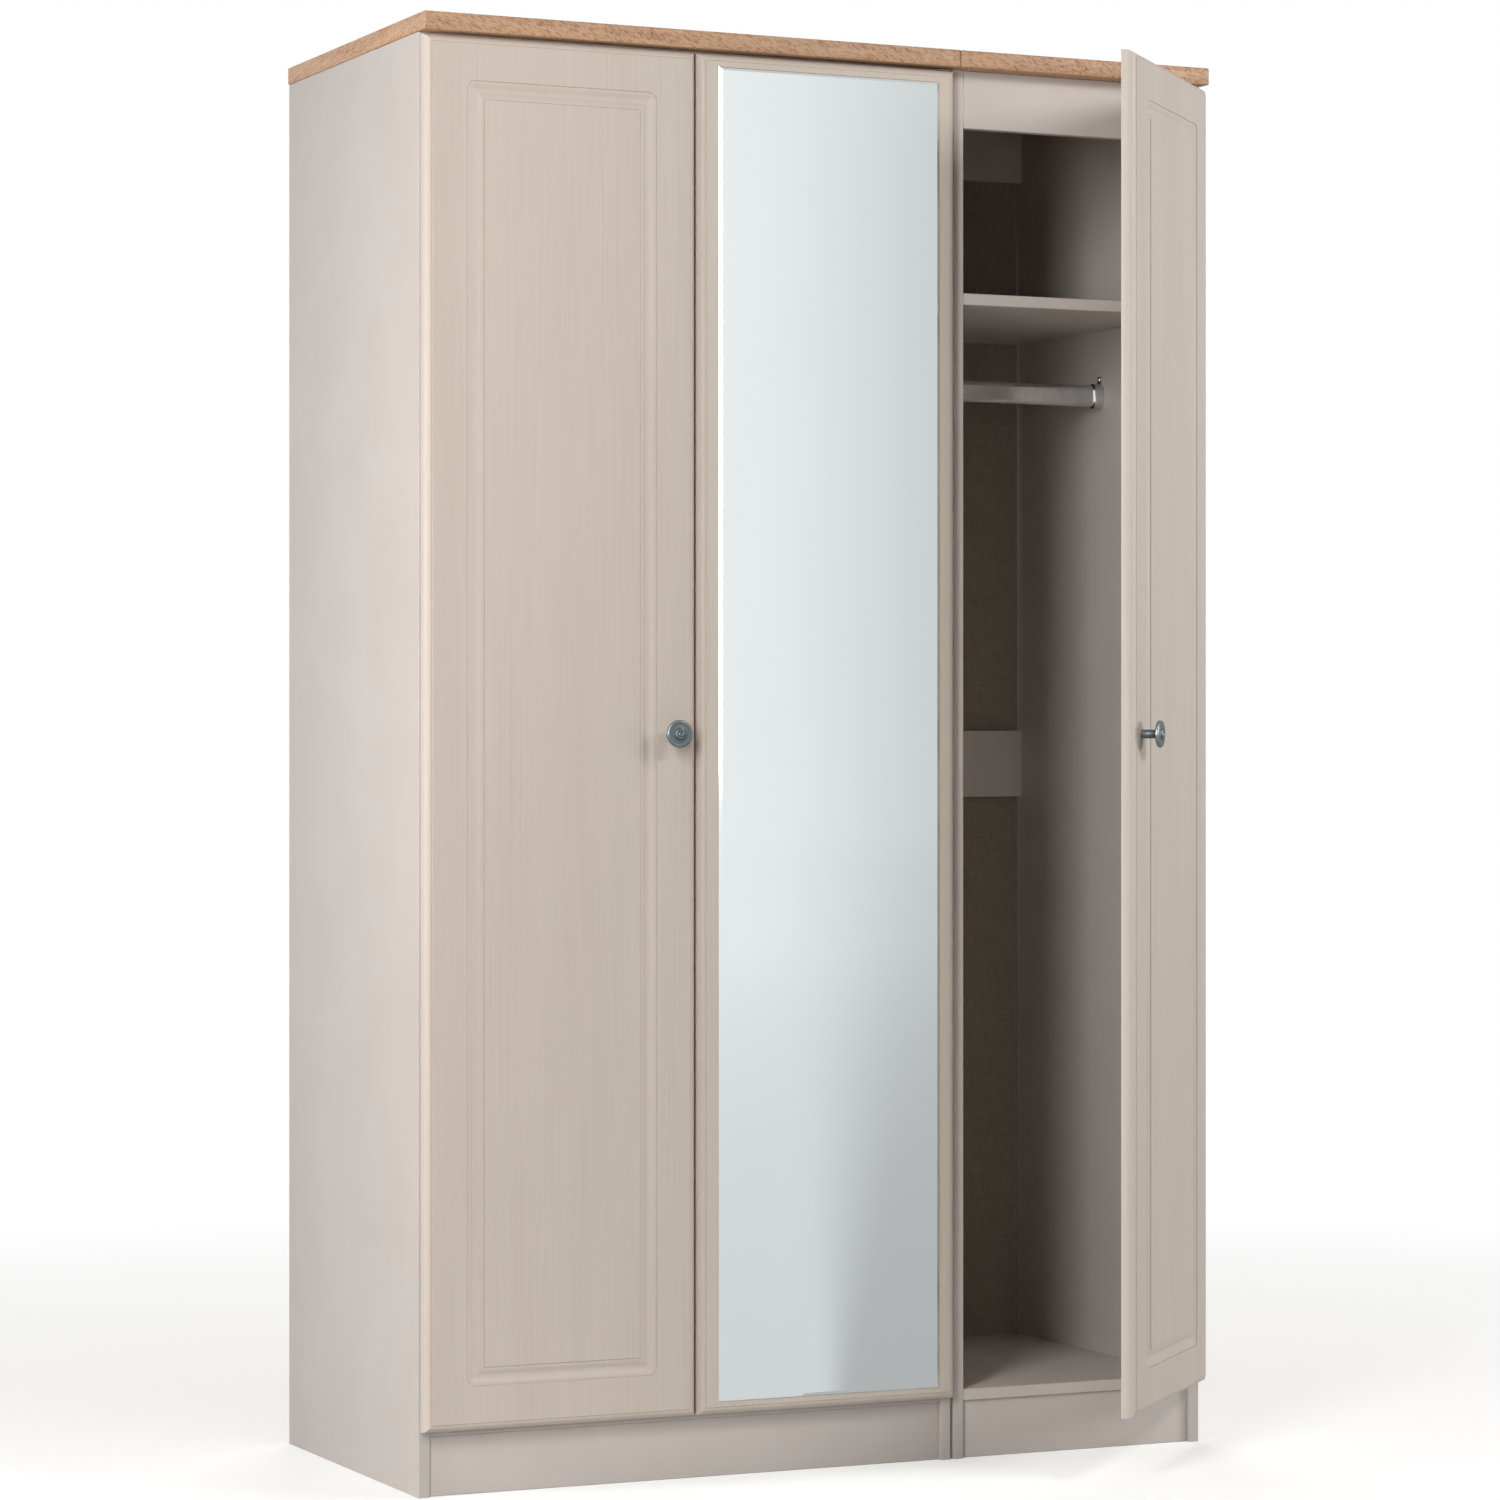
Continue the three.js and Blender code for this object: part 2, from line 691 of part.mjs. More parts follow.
const doors = [
  {
    prefix: "left",
    width: doorWidthOfPair,
    edge: doorSideReveal,
    side: -1,
    opening: leftDoorOpening,
    mirrored: false,
  },
  {
    prefix: "mirror",
    width: doorWidthOfPair,
    edge: doubleWidth - doorSideReveal,
    side: 1,
    opening: mirrorDoorOpening,
    mirrored: true,
  },
  {
    prefix: "right",
    width: doorWidthSingle,
    edge: carcassesWidth - doorSideReveal,
    side: 1,
    opening: rightDoorOpening,
    mirrored: false,
  },
].map(hungDoor);

const wardrobe = new THREE.Group();
wardrobe.add(doubleRobe, singleRobe);
for (const { door, arms } of doors) wardrobe.add(door, ...arms);
boltPlaces().forEach(([y, z], i) => {
  const bolt = robeBolt("robe_bolt_" + (i + 1));
  bolt.position.set(doubleWidth - board - jointGap - boltHeadHeight, y, z);
  wardrobe.add(bolt);
});

// The origin is on the floor, at mid-width, under the middle of the front plinth's thickness.
wardrobe.position.set(-carcassesWidth / 2, -plinthRecess - board / 2, 0);

export default wardrobe;
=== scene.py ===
# Looks of a triple wardrobe: two robes side by side, oak tops, wrapped doors and a mirror.
import json
import math

import bmesh
import bpy
from mathutils import Matrix, Vector


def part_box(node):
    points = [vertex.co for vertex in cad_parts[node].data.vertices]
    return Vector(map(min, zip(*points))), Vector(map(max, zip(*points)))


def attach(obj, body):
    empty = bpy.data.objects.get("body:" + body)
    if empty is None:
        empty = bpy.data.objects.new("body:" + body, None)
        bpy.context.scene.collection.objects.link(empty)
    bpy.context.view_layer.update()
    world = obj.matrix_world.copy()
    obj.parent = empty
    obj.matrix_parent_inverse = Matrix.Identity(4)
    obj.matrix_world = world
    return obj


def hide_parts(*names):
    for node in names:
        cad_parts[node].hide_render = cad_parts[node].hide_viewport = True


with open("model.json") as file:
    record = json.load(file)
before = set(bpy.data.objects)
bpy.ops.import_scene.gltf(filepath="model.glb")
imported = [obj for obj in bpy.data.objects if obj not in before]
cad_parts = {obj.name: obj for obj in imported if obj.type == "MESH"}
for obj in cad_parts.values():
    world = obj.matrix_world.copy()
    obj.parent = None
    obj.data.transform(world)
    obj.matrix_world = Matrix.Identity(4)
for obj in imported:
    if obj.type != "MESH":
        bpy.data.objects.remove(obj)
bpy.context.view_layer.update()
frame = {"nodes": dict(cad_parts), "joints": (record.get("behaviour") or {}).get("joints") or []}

mm = 0.001
nodes = frame["nodes"]
joints = {joint["name"]: joint for joint in frame["joints"]}
scene = bpy.context.scene
print("frame loaded:", len(nodes), "nodes")

# Camera: the horizon is level and the shift only centres the object in the picture.
cameraView = {
    "turn": 24.822,  # degrees to the right of straight on
    "station": (-2.5005, -5.2042, 0.9099),
    "lens": 108.0,
    "sensor": 36,
    "shift": (-0.0024, 0.0054),
    "clip": (0.1, 100),
}


def makeCamera(view):
    data = bpy.data.cameras.new("studioCamera")
    data.lens = view["lens"]
    data.sensor_width = view["sensor"]
    data.shift_x, data.shift_y = view["shift"]
    data.clip_start, data.clip_end = view["clip"]
    camera = bpy.data.objects.new("studioCamera", data)
    scene.collection.objects.link(camera)
    camera.location = view["station"]
    camera.rotation_euler = (math.radians(90), 0, -math.radians(view["turn"]))
    scene.camera = camera


makeCamera(cameraView)


# Colours and node trees. A hex colour becomes linear by the sRGB curve.
def linear(hexColour):
    channels = [int(hexColour[i:i + 2], 16) / 255 for i in (1, 3, 5)]
    return [c / 12.92 if c <= 0.04045 else ((c + 0.055) / 1.055) ** 2.4 for c in channels] + [1]


# Adds a node, sets it up, links or sets its inputs, and gives back its outputs.
def addNode(tree, kind, inputs=None, **settings):
    node = tree.nodes.new(kind)
    for key, value in settings.items():
        setattr(node, key, value)
    for key, value in (inputs or {}).items():
        if isinstance(value, bpy.types.NodeSocket):
            tree.links.new(value, node.inputs[key])
        else:
            node.inputs[key].default_value = value
    return node.outputs


# Values for a node's first inputs, in their order.
def inOrder(*values):
    return dict(enumerate(values))


noiseBand = (0.3, 0.7)  # most of a noise lies between these


# A material begins with its place on the piece and its layers of noise, each with a cell size in
# millimetres along X, Y and Z and a level of detail.
def startMaterial(name, layers, turn=0.0, shift=(0, 0, 0), attribute=None):
    material = bpy.data.materials.new(name)
    material.use_nodes = True
    tree = material.node_tree
    tree.nodes.clear()
    if attribute:
        place = addNode(tree, "ShaderNodeAttribute", attribute_name=attribute)["Vector"]
    else:
        place = addNode(tree, "ShaderNodeMapping", {
            "Vector": addNode(tree, "ShaderNodeTexCoord")["Object"],
            "Rotation": (0, 0, turn), "Location": shift})["Vector"]
    noise = {}
    for layer, (cell, detail) in layers.items():
        cells = addNode(tree, "ShaderNodeVectorMath", inOrder(place, [size * mm for size in cell]),
                        operation="DIVIDE")["Vector"]
        noise[layer] = addNode(tree, "ShaderNodeTexNoise", {
            "Vector": cells, "Scale": 1.0, "Detail": detail, "Roughness": 0.55})["Fac"]
    return material, tree, place, noise


def finishMaterial(tree, values):
    surface = addNode(tree, "ShaderNodeBsdfPrincipled", values)["BSDF"]
    addNode(tree, "ShaderNodeOutputMaterial", {"Surface": surface})


# Vinyl foil pressed over routed MDF: matt and warm, with faint upright woodgrain and a
# darker line of painted shade along the quirks, where shade falls into them.
doorFoil = {
    "base": "#D3C8BD",
    "shade": "#BFB3A7",
    # the colour of the painted shade in the quirks
    "paintedQuirkShade": "#8F8275",
    "layers": {
        "hair": ((1.7, 1.7, 150), 3),  # width, depth and length of a hairline of grain
        "vein": ((9, 9, 380), 2),
        "patch": ((60, 60, 560), 1),
    },
    "ringSpacing": 6.5,
    "ringLength": 260,
    "ringSway": 5.0,
    # A range of each pattern, and the strengths of mark that it becomes
    "ringMarks": (0.75, 1.0),
    "veinMarks": (0.5, 0.62, 0.0, 0.2),
    "hairMarks": (0.35, 0.65, 0.0, 0.2),
    "patchMarks": (0.35, 0.65, 0.0, 0.15),
    "roughness": (0.46, 0.55),
    "relief": 0.03,
}


def vinylWrappedMdf(name, look, turn, shift):
    material, tree, place, noise = startMaterial(name, look["layers"], turn, shift)
    # Growth rings: fine lines across the width that sway slowly along the height, in clusters.
    spacing = look["ringSpacing"] * mm
    ringSize = (spacing, spacing, look["ringLength"] * mm)
    ringCells = addNode(tree, "ShaderNodeVectorMath", inOrder(place, ringSize), operation="DIVIDE")["Vector"]
    oneBandPerCell = math.pi / 10
    ring = addNode(tree, "ShaderNodeTexWave", {
        "Vector": ringCells, "Scale": oneBandPerCell, "Distortion": look["ringSway"], "Detail": 1.0,
        "Detail Scale": 0.6}, wave_type="BANDS", bands_direction="X", wave_profile="SIN")["Fac"]
    ringLine = addNode(tree, "ShaderNodeMapRange", inOrder(ring, *look["ringMarks"]))[0]
    cluster = addNode(tree, "ShaderNodeMapRange", inOrder(noise["vein"], *look["veinMarks"]))[0]
    hair = addNode(tree, "ShaderNodeMapRange", inOrder(noise["hair"], *look["hairMarks"]))[0]
    patch = addNode(tree, "ShaderNodeMapRange", inOrder(noise["patch"], *look["patchMarks"]))[0]
    plain = addNode(tree, "ShaderNodeMath", inOrder(hair, patch), operation="ADD")[0]
    marks = addNode(tree, "ShaderNodeMath", inOrder(ringLine, cluster, plain), operation="MULTIPLY_ADD")[0]
    grained = addNode(tree, "ShaderNodeMix", {
        0: marks, 6: linear(look["base"]), 7: linear(look["shade"])}, data_type="RGBA")[2]
    # Painted shade: a darker line where shade falls in the quirks, read from the mesh
    paintedQuirkShade = addNode(tree, "ShaderNodeAttribute", attribute_name="paintedQuirkShade")["Fac"]
    finishMaterial(tree, {
        "Base Color": addNode(tree, "ShaderNodeMix", {
            0: paintedQuirkShade, 6: grained, 7: linear(look["paintedQuirkShade"])}, data_type="RGBA")[2],
        "Roughness": addNode(tree, "ShaderNodeMapRange", inOrder(
            noise["hair"], *noiseBand, *look["roughness"]))[0],
        "IOR": 1.47,
        "Normal": addNode(tree, "ShaderNodeBump", {
            "Height": marks, "Distance": -look["relief"] * mm})["Normal"],
    })
    return material


# Melamine-faced chipboard: smooth and matt, with a hint of orange peel in raking light.
boardFoil = {
    "base": "#CFC8C3", "shade": "#C8C0BB", "tone": (0.6, 1.4), "roughness": (0.52, 0.59), "relief": 0.02,
    "layers": {"peel": ((0.8, 0.8, 0.8), 2), "cloud": ((130, 130, 130), 2)},
}


def melamineFacedChipboard(name, look):
    material, tree, _, noise = startMaterial(name, look["layers"])
    summed = addNode(tree, "ShaderNodeMath", inOrder(noise["peel"], noise["cloud"]), operation="ADD")[0]
    tone = addNode(tree, "ShaderNodeMapRange", inOrder(summed, *look["tone"]))[0]
    finishMaterial(tree, {
        "Base Color": addNode(tree, "ShaderNodeMix", {
            0: tone, 6: linear(look["base"]), 7: linear(look["shade"])}, data_type="RGBA")[2],
        "Roughness": addNode(tree, "ShaderNodeMapRange", inOrder(
            noise["cloud"], *noiseBand, *look["roughness"]))[0],
        "IOR": 1.5,
        "Normal": addNode(tree, "ShaderNodeBump", {
            "Height": noise["peel"], "Distance": look["relief"] * mm, "Strength": 0.6})["Normal"],
    })
    return material


# Oak-print foil on the tops: sawn oak whose pores cross the edges as short slanting strokes.
# The tops carry an attribute that runs along the grain on every face.
oakFoil = {
    "light": "#D0AB8A",
    "mid": "#B99070",
    "pore": "#855D42",
    "layers": {"figure": ((140, 12, 12), 3), "fibre": ((26, 1.4, 1.4), 3)},
    "stroke": (7, 2.4, 1.2),
    "slant": 27,
    "tone": (0.7, 1.3),
    "poreMarks": (0.5, 0.66),
    "poreDensity": (0.3, 0.6, 0.5, 1.0),  # a range of the figure, and how many pores show there
    "roughness": (0.5, 0.65),
    "relief": 0.06,
}


def oakGrainFoil(name, look):
    material, tree, place, noise = startMaterial(name, look["layers"], attribute="grain")
    slanted = addNode(tree, "ShaderNodeMapping", {
        "Vector": place, "Rotation": (0, -math.radians(look["slant"]), 0)})["Vector"]
    cells = addNode(tree, "ShaderNodeVectorMath", inOrder(slanted, [size * mm for size in look["stroke"]]),
                    operation="DIVIDE")["Vector"]
    stroke = addNode(tree, "ShaderNodeTexNoise", {
        "Vector": cells, "Scale": 1.0, "Detail": 2.0, "Distortion": 0.35})["Fac"]
    summed = addNode(tree, "ShaderNodeMath", inOrder(noise["figure"], noise["fibre"]), operation="ADD")[0]
    wood = addNode(tree, "ShaderNodeMix", {
        0: addNode(tree, "ShaderNodeMapRange", inOrder(summed, *look["tone"]))[0],
        6: linear(look["light"]), 7: linear(look["mid"])}, data_type="RGBA")[2]
    density = addNode(tree, "ShaderNodeMapRange", inOrder(noise["figure"], *look["poreDensity"]))[0]
    deep = addNode(tree, "ShaderNodeMapRange", inOrder(stroke, *look["poreMarks"]))[0]
    pores = addNode(tree, "ShaderNodeMath", inOrder(deep, density), operation="MULTIPLY")[0]
    finishMaterial(tree, {
        "Base Color": addNode(tree, "ShaderNodeMix", {
            0: pores, 6: wood, 7: linear(look["pore"])}, data_type="RGBA")[2],
        "Roughness": addNode(tree, "ShaderNodeMapRange", inOrder(pores, 0.0, 1.0, *look["roughness"]))[0],
        "IOR": 1.5,
        "Normal": addNode(tree, "ShaderNodeBump", {
            "Height": pores, "Distance": -look["relief"] * mm})["Normal"],
    })
    return material


# Hardboard faced with linen-print paper: a dull, close weave of threads about a millimetre wide.
linenBack = {
    "light": "#9C9285", "dark": "#82796D", "thread": (0.4, 0.72), "roughness": 0.8, "relief": 0.1,
    "layers": {"warp": ((1.2, 5, 22), 2), "weft": ((22, 5, 1.2), 2)},
}


def linenFacedHardboard(name, look):
    material, tree, _, noise = startMaterial(name, look["layers"])
    woven = addNode(tree, "ShaderNodeMath", inOrder(noise["warp"], noise["weft"]), operation="MAXIMUM")[0]
    thread = addNode(tree, "ShaderNodeMapRange", inOrder(woven, *look["thread"]))[0]
    finishMaterial(tree, {
        "Base Color": addNode(tree, "ShaderNodeMix", {
            0: thread, 6: linear(look["dark"]), 7: linear(look["light"])}, data_type="RGBA")[2],
        "Roughness": look["roughness"],
        "IOR": 1.45,
        "Normal": addNode(tree, "ShaderNodeBump", {
            "Height": thread, "Distance": look["relief"] * mm, "Strength": 0.6})["Normal"],
    })
    return material


# Raw hardboard on the wall side: brown felted fibres.
rawBack = {
    "dark": "#735A43", "light": "#957A60", "tone": (0.4, 1.0), "roughness": 0.75, "relief": 0.1,
    "layers": {"fibre": ((2.5, 2.5, 2.5), 4), "cloud": ((160, 160, 160), 2)},
    "cloudShare": 0.35,
}


def rawHardboard(name, look):
    material, tree, _, noise = startMaterial(name, look["layers"])
    felt = addNode(tree, "ShaderNodeMath", inOrder(noise["cloud"], look["cloudShare"], noise["fibre"]),
                   operation="MULTIPLY_ADD")[0]
    finishMaterial(tree, {
        "Base Color": addNode(tree, "ShaderNodeMix", {
            0: addNode(tree, "ShaderNodeMapRange", inOrder(felt, *look["tone"]))[0],
            6: linear(look["dark"]), 7: linear(look["light"])}, data_type="RGBA")[2],
        "Roughness": look["roughness"],
        "IOR": 1.45,
        "Normal": addNode(tree, "ShaderNodeBump", {
            "Height": noise["fibre"], "Distance": look["relief"] * mm, "Strength": 0.6})["Normal"],
    })
    return material


# Silvered float glass: bright, faintly cool, all but perfectly smooth.
mirrorFinish = {
    "bright": "#E9EFEF", "dim": "#E6ECEC", "roughness": (0.045, 0.06),
    "layers": {"smear": ((120, 120, 300), 2)},
}


def silveredGlass(name, look):
    material, tree, _, noise = startMaterial(name, look["layers"])
    finishMaterial(tree, {
        "Base Color": addNode(tree, "ShaderNodeMix", {
            0: noise["smear"], 6: linear(look["bright"]), 7: linear(look["dim"])}, data_type="RGBA")[2],
        "Metallic": 1.0,
        "Roughness": addNode(tree, "ShaderNodeMapRange", inOrder(
            noise["smear"], *noiseBand, *look["roughness"]))[0],
    })
    return material


# Plated steel: nickel is soft and a little warm from pressing and barrel polish, chrome is brighter
# and keeps the drawing lines of the tube.
nickelFinish = {
    "bright": "#C6C9CA", "dark": "#A6AAAB", "tone": (0.7, 1.3), "roughness": (0.23, 0.34), "relief": 0.01,
    "layers": {"marks": ((0.7, 0.7, 0.7), 3), "cloud": ((14, 14, 14), 2)},
}
chromeFinish = {
    "bright": "#D2D4D4", "dark": "#BEC1C2", "tone": (0.7, 1.3), "roughness": (0.15, 0.26), "relief": 0.01,
    "layers": {"marks": ((30, 0.6, 0.6), 3), "cloud": ((14, 14, 14), 2)},
}


def platedSteel(name, look):
    material, tree, _, noise = startMaterial(name, look["layers"])
    summed = addNode(tree, "ShaderNodeMath", inOrder(noise["marks"], noise["cloud"]), operation="ADD")[0]
    finishMaterial(tree, {
        "Base Color": addNode(tree, "ShaderNodeMix", {
            0: addNode(tree, "ShaderNodeMapRange", inOrder(summed, *look["tone"]))[0],
            6: linear(look["bright"]), 7: linear(look["dark"])}, data_type="RGBA")[2],
        "Metallic": 1.0,
        "Roughness": addNode(tree, "ShaderNodeMapRange", inOrder(
            noise["marks"], *noiseBand, *look["roughness"]))[0],
        "Normal": addNode(tree, "ShaderNodeBump", {
            "Height": noise["marks"], "Distance": look["relief"] * mm, "Strength": 0.5})["Normal"],
    })
    return material


# Antique pewter on a die-cast knob: blue-grey, bright where hands polish it, dark in the hollows.
pewterFinish = {
    "dark": "#2C3336", "bright": "#8E989B", "relief": 0.12,
    "layers": {"pit": ((2.2, 2.2, 2.2), 3)},
    "polishShare": 0.85, "pitShare": (0.0, 0.15),
    "roughness": (0.1, 1.0, 0.5, 0.26),  # a range of shine, and the roughness at its two ends
}


def antiquePewter(name, look):
    material, tree, _, noise = startMaterial(name, look["layers"])
    worn = addNode(tree, "ShaderNodeAttribute", attribute_name="polish")["Fac"]
    pitted = addNode(tree, "ShaderNodeMapRange", inOrder(noise["pit"], *noiseBand, *look["pitShare"]))[0]
    shine = addNode(tree, "ShaderNodeMath", inOrder(worn, look["polishShare"], pitted),
                    operation="MULTIPLY_ADD")[0]
    finishMaterial(tree, {
        "Base Color": addNode(tree, "ShaderNodeMix", {
            0: shine, 6: linear(look["dark"]), 7: linear(look["bright"])}, data_type="RGBA")[2],
        "Metallic": 1.0,
        "Roughness": addNode(tree, "ShaderNodeMapRange", inOrder(shine, *look["roughness"]))[0],
        "Normal": addNode(tree, "ShaderNodeBump", {
            "Height": noise["pit"], "Distance": look["relief"] * mm, "Strength": 0.6})["Normal"],
    })
    return material


materials = {
    "board": melamineFacedChipboard("melamineFacedChipboard", boardFoil),
    "oak": oakGrainFoil("oakPrintFoilSatin", oakFoil),
    "linen": linenFacedHardboard("linenFacedHardboard", linenBack),
    "hardboard": rawHardboard("rawHardboardBrown", rawBack),
    "mirror": silveredGlass("silveredFloatGlass", mirrorFinish),
    "pewter": antiquePewter("antiquePewterDieCast", pewterFinish),
    "nickel": platedSteel("nickelPlatedSteelPressed", nickelFinish),
    "chrome": platedSteel("chromedSteelDrawn", chromeFinish),
}
print("materials made:", len(materials))


# Meshes: distances in millimetres under which points are merged, and angles in degrees
meshRules = {"cadMerge": 0.02, "skinMerge": 0.01, "flatAngle": 1, "smoothAngle": 40, "bevelAngle": 50}


def addObject(name, mesh):
    thing = bpy.data.objects.new(name, mesh)
    scene.collection.objects.link(thing)
    return thing


def meshFrom(build, name):
    mesh = bpy.data.meshes.new(name)
    build.to_mesh(mesh)
    build.free()
    return mesh


def shadeByAngle(mesh, degrees):
    mesh.polygons.foreach_set("use_smooth", [True] * len(mesh.polygons))
    mesh.set_sharp_from_angle(angle=math.radians(degrees))


def setMaterials(thing, *chosen):
    thing.data.materials.clear()
    for material in chosen:
        thing.data.materials.append(material)


def finishPiece(piece, body, slotName, *cadNodes):
    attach(piece, body)
    if cadNodes:
        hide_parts(*cadNodes)


# Makes the result of an object's modifiers its own plain mesh.
def makeReal(thing):
    graph = bpy.context.evaluated_depsgraph_get()
    mesh = bpy.data.meshes.new_from_object(thing.evaluated_get(graph))
    name, old = thing.name, thing.data
    thing.modifiers.clear()
    thing.data = mesh
    bpy.data.meshes.remove(old)
    mesh.name = name
    return thing


# A copy of a CAD piece with its edges eased. The CAD mesh is loose triangles, so it is merged first.
def easedCopy(cadName, ease, segments=2):
    flat = math.radians(meshRules["flatAngle"])
    build = bmesh.new()
    build.from_mesh(nodes[cadName].data)
    bmesh.ops.remove_doubles(build, verts=build.verts, dist=meshRules["cadMerge"] * mm)
    bmesh.ops.dissolve_limit(build, angle_limit=flat, verts=build.verts, edges=build.edges)
    for loose in [vert for vert in build.verts if not vert.link_faces]:
        build.verts.remove(loose)
    thing = addObject(cadName + "_eased", meshFrom(build, cadName + "_eased"))
    bevel = thing.modifiers.new("easedEdges", "BEVEL")
    bevel.width = ease * mm
    bevel.segments = segments
    bevel.limit_method = "ANGLE"
    bevel.angle_limit = math.radians(meshRules["bevelAngle"])
    makeReal(thing)
    shadeByAngle(thing.data, meshRules["smoothAngle"])
    return thing


endSlope = 0.7  # a face of a top counts as an end where its normal leans this far along X


# The place of every face corner along the grain: X on the long faces, Y on the ends.
def layGrain(thing):
    mesh = thing.data
    grain = mesh.attributes.new("grain", "FLOAT_VECTOR", "CORNER")
    for face in mesh.polygons:
        onEnd = abs(face.normal.x) > endSlope
        for corner in face.loop_indices:
            x, y, z = mesh.vertices[mesh.loops[corner].vertex_index].co
            grain.data[corner].vector = (y, x, z) if onEnd else (x, y, z)


carcassPieces = {
    "boards": ("left_side", "right_side", "plinth", "base", "shelf", "fascia", "back_rail", "mid_batten"),
    "boardEase": 0.6, "topEase": 1.8, "topSegments": 3, "backEase": 0.2, "backSegments": 1, "railEase": 0.3,
}


def dressCarcass(look):
    for robe in ("double_", "single_"):
        for part in look["boards"]:
            board = easedCopy(robe + part, look["boardEase"])
            setMaterials(board, materials["board"])
            finishPiece(board, "carcass", "carcass_board", robe + part)
        top = easedCopy(robe + "top", look["topEase"], look["topSegments"])
        layGrain(top)
        setMaterials(top, materials["oak"])
        finishPiece(top, "carcass", "oak_top", robe + "top")
        back = easedCopy(robe + "back_panel", look["backEase"], look["backSegments"])
        setMaterials(back, materials["linen"], materials["hardboard"])
        for face in back.data.polygons:
            face.material_index = int(face.normal.y > 0.5)
        finishPiece(back, "carcass", "back_hardboard", robe + "back_panel")
        rail = easedCopy(robe + "hanging_rail", look["railEase"])
        setMaterials(rail, materials["chrome"])
        finishPiece(rail, "carcass", "chrome_rail", robe + "hanging_rail")


dressCarcass(carcassPieces)
print("boards, tops, backs and rails made")


# Joins rings of points that all have the same count into a closed skin. Each ring holds pairs of
# a point and the value that the named attribute, if there is one, takes there.
def skinRings(rings, attribute=None):
    build = bmesh.new()
    layer = build.verts.layers.float.new(attribute) if attribute else None
    made = []
    for ring in rings:
        row = []
        for point, value in ring:
            vert = build.verts.new(point)
            if layer is not None:
                vert[layer] = value
            row.append(vert)
        made.append(row)
    for first, second in zip(made, made[1:]):
        for i in range(len(first)):
            j = (i + 1) % len(first)
            build.faces.new((first[i], first[j], second[j], second[i]))
    build.faces.new(made[0])
    build.faces.new(made[-1])
    bmesh.ops.remove_doubles(build, verts=build.verts, dist=meshRules["skinMerge"] * mm)
    bmesh.ops.recalc_face_normals(build, faces=build.faces)
    return build


# A rectangle in X and Z, inset from its full size, with its corners rounded to one radius.
def insetLoop(low, high, inset, radius, steps):
    left, right = low.x + inset + radius, high.x - inset - radius
    bottom, top = low.z + inset + radius, high.z - inset - radius
    loop = []
    for quarter, (x, z) in enumerate(((right, top), (left, top), (left, bottom), (right, bottom))):
        for i in range(steps + 1):
            angle = math.radians(90 * (quarter + i / steps))
            loop.append((x + radius * math.cos(angle), z + radius * math.sin(angle)))
    return loop


# Doors. Each is made shut and then swung to its rest place about its joint.
doorShape = {
    "mouldWidth": 9, "mouldDrop": 14, "quirk": 1, "quirkRun": 0.6, "mouldSteps": 16,
    "foldRun": 0.05, "landRun": 0.1, "lipDrop": 0.1, "lipRun": 0.3,  # how the foil rounds a quirk
    "grooveInset": 55, "grooveWidth": 23, "grooveDepth": 3.6, "grooveLand": 2,
    # the last entry is how strongly the quirks carry painted shade
    "cornerSteps": 14, "backArris": 0.6, "paintedQuirkShade": 0.45,
    "cupRadius": 17.75, "cupDepth": 11.75, "cupFromEdge": 22.5, "cupFromEnd": 100,
    "boreSides": 64, "boreClearOut": 2, "smoothAngle": 18,
}


# The turn that takes a part from its rest place to its joint's shut limit.
def closingOf(prefix):
    joint = joints[prefix + "_door_swing"]
    pivot, axis = Vector(joint["pos_m"]), Vector(joint["axis"])
    turn = Matrix.Rotation(math.radians(joint["range_deg"][0]), 4, axis)
    return Matrix.Translation(pivot) @ turn @ Matrix.Translation(-pivot)


def shutBox(cadName, closing):
    corners = [closing @ vert.co for vert in nodes[cadName].data.vertices]
    low = Vector([min(corner[i] for corner in corners) for i in range(3)])
    high = Vector([max(corner[i] for corner in corners) for i in range(3)])
    return low, high


# The front of a door in rows of inset from the edge, corner radius, depth below the face and the strength of
# the painted shade in the quirks.
def frontProfile(shape, thickness, grooved):
    width, quirk, run = shape["mouldWidth"], shape["quirk"], shape["quirkRun"]
    steps, paintedQuirkShade = shape["mouldSteps"], shape["paintedQuirkShade"]
    fold, land, drop, lip = (shape[key] for key in ("foldRun", "landRun", "lipDrop", "lipRun"))
    rows = [(shape["backArris"], 0, thickness, 0), (0, 0, thickness - shape["backArris"], 0)]
    for i in range(steps + 1):
        angle = math.radians(90 * i / steps)
        depth = quirk + (shape["mouldDrop"] - quirk) * (1 - math.sin(angle))
        rows.append((width * (1 - math.cos(angle)), 0, depth, 0))
    rows += [(width + fold, 0, quirk, paintedQuirkShade), (width + run, 0, drop, paintedQuirkShade), (width + run + lip, 0, 0, 0)]
    if not grooved:
        return rows
    inset, half = shape["grooveInset"], shape["grooveWidth"] / 2
    middle, reach = inset + half, half - shape["grooveLand"]
    rows += [(inset - lip, half + lip, 0, 0), (inset, half, drop, paintedQuirkShade)]
    rows += [(inset + run, half - run, quirk, paintedQuirkShade), (inset + run + land, half - run - land, quirk, 0)]
    for i in range(-steps, steps + 1):
        away = reach * i / steps
        hollow = (1 + math.cos(math.pi * i / steps)) / 2
        rows.append((middle + away, max(-away, 0), quirk + (shape["grooveDepth"] - quirk) * hollow, 0))
    far = middle + half
    rows += [(far - run - land, 0, quirk, 0), (far - run, 0, quirk, paintedQuirkShade), (far, 0, drop, paintedQuirkShade)]
    return rows + [(far + lip, 0, 0, 0)]


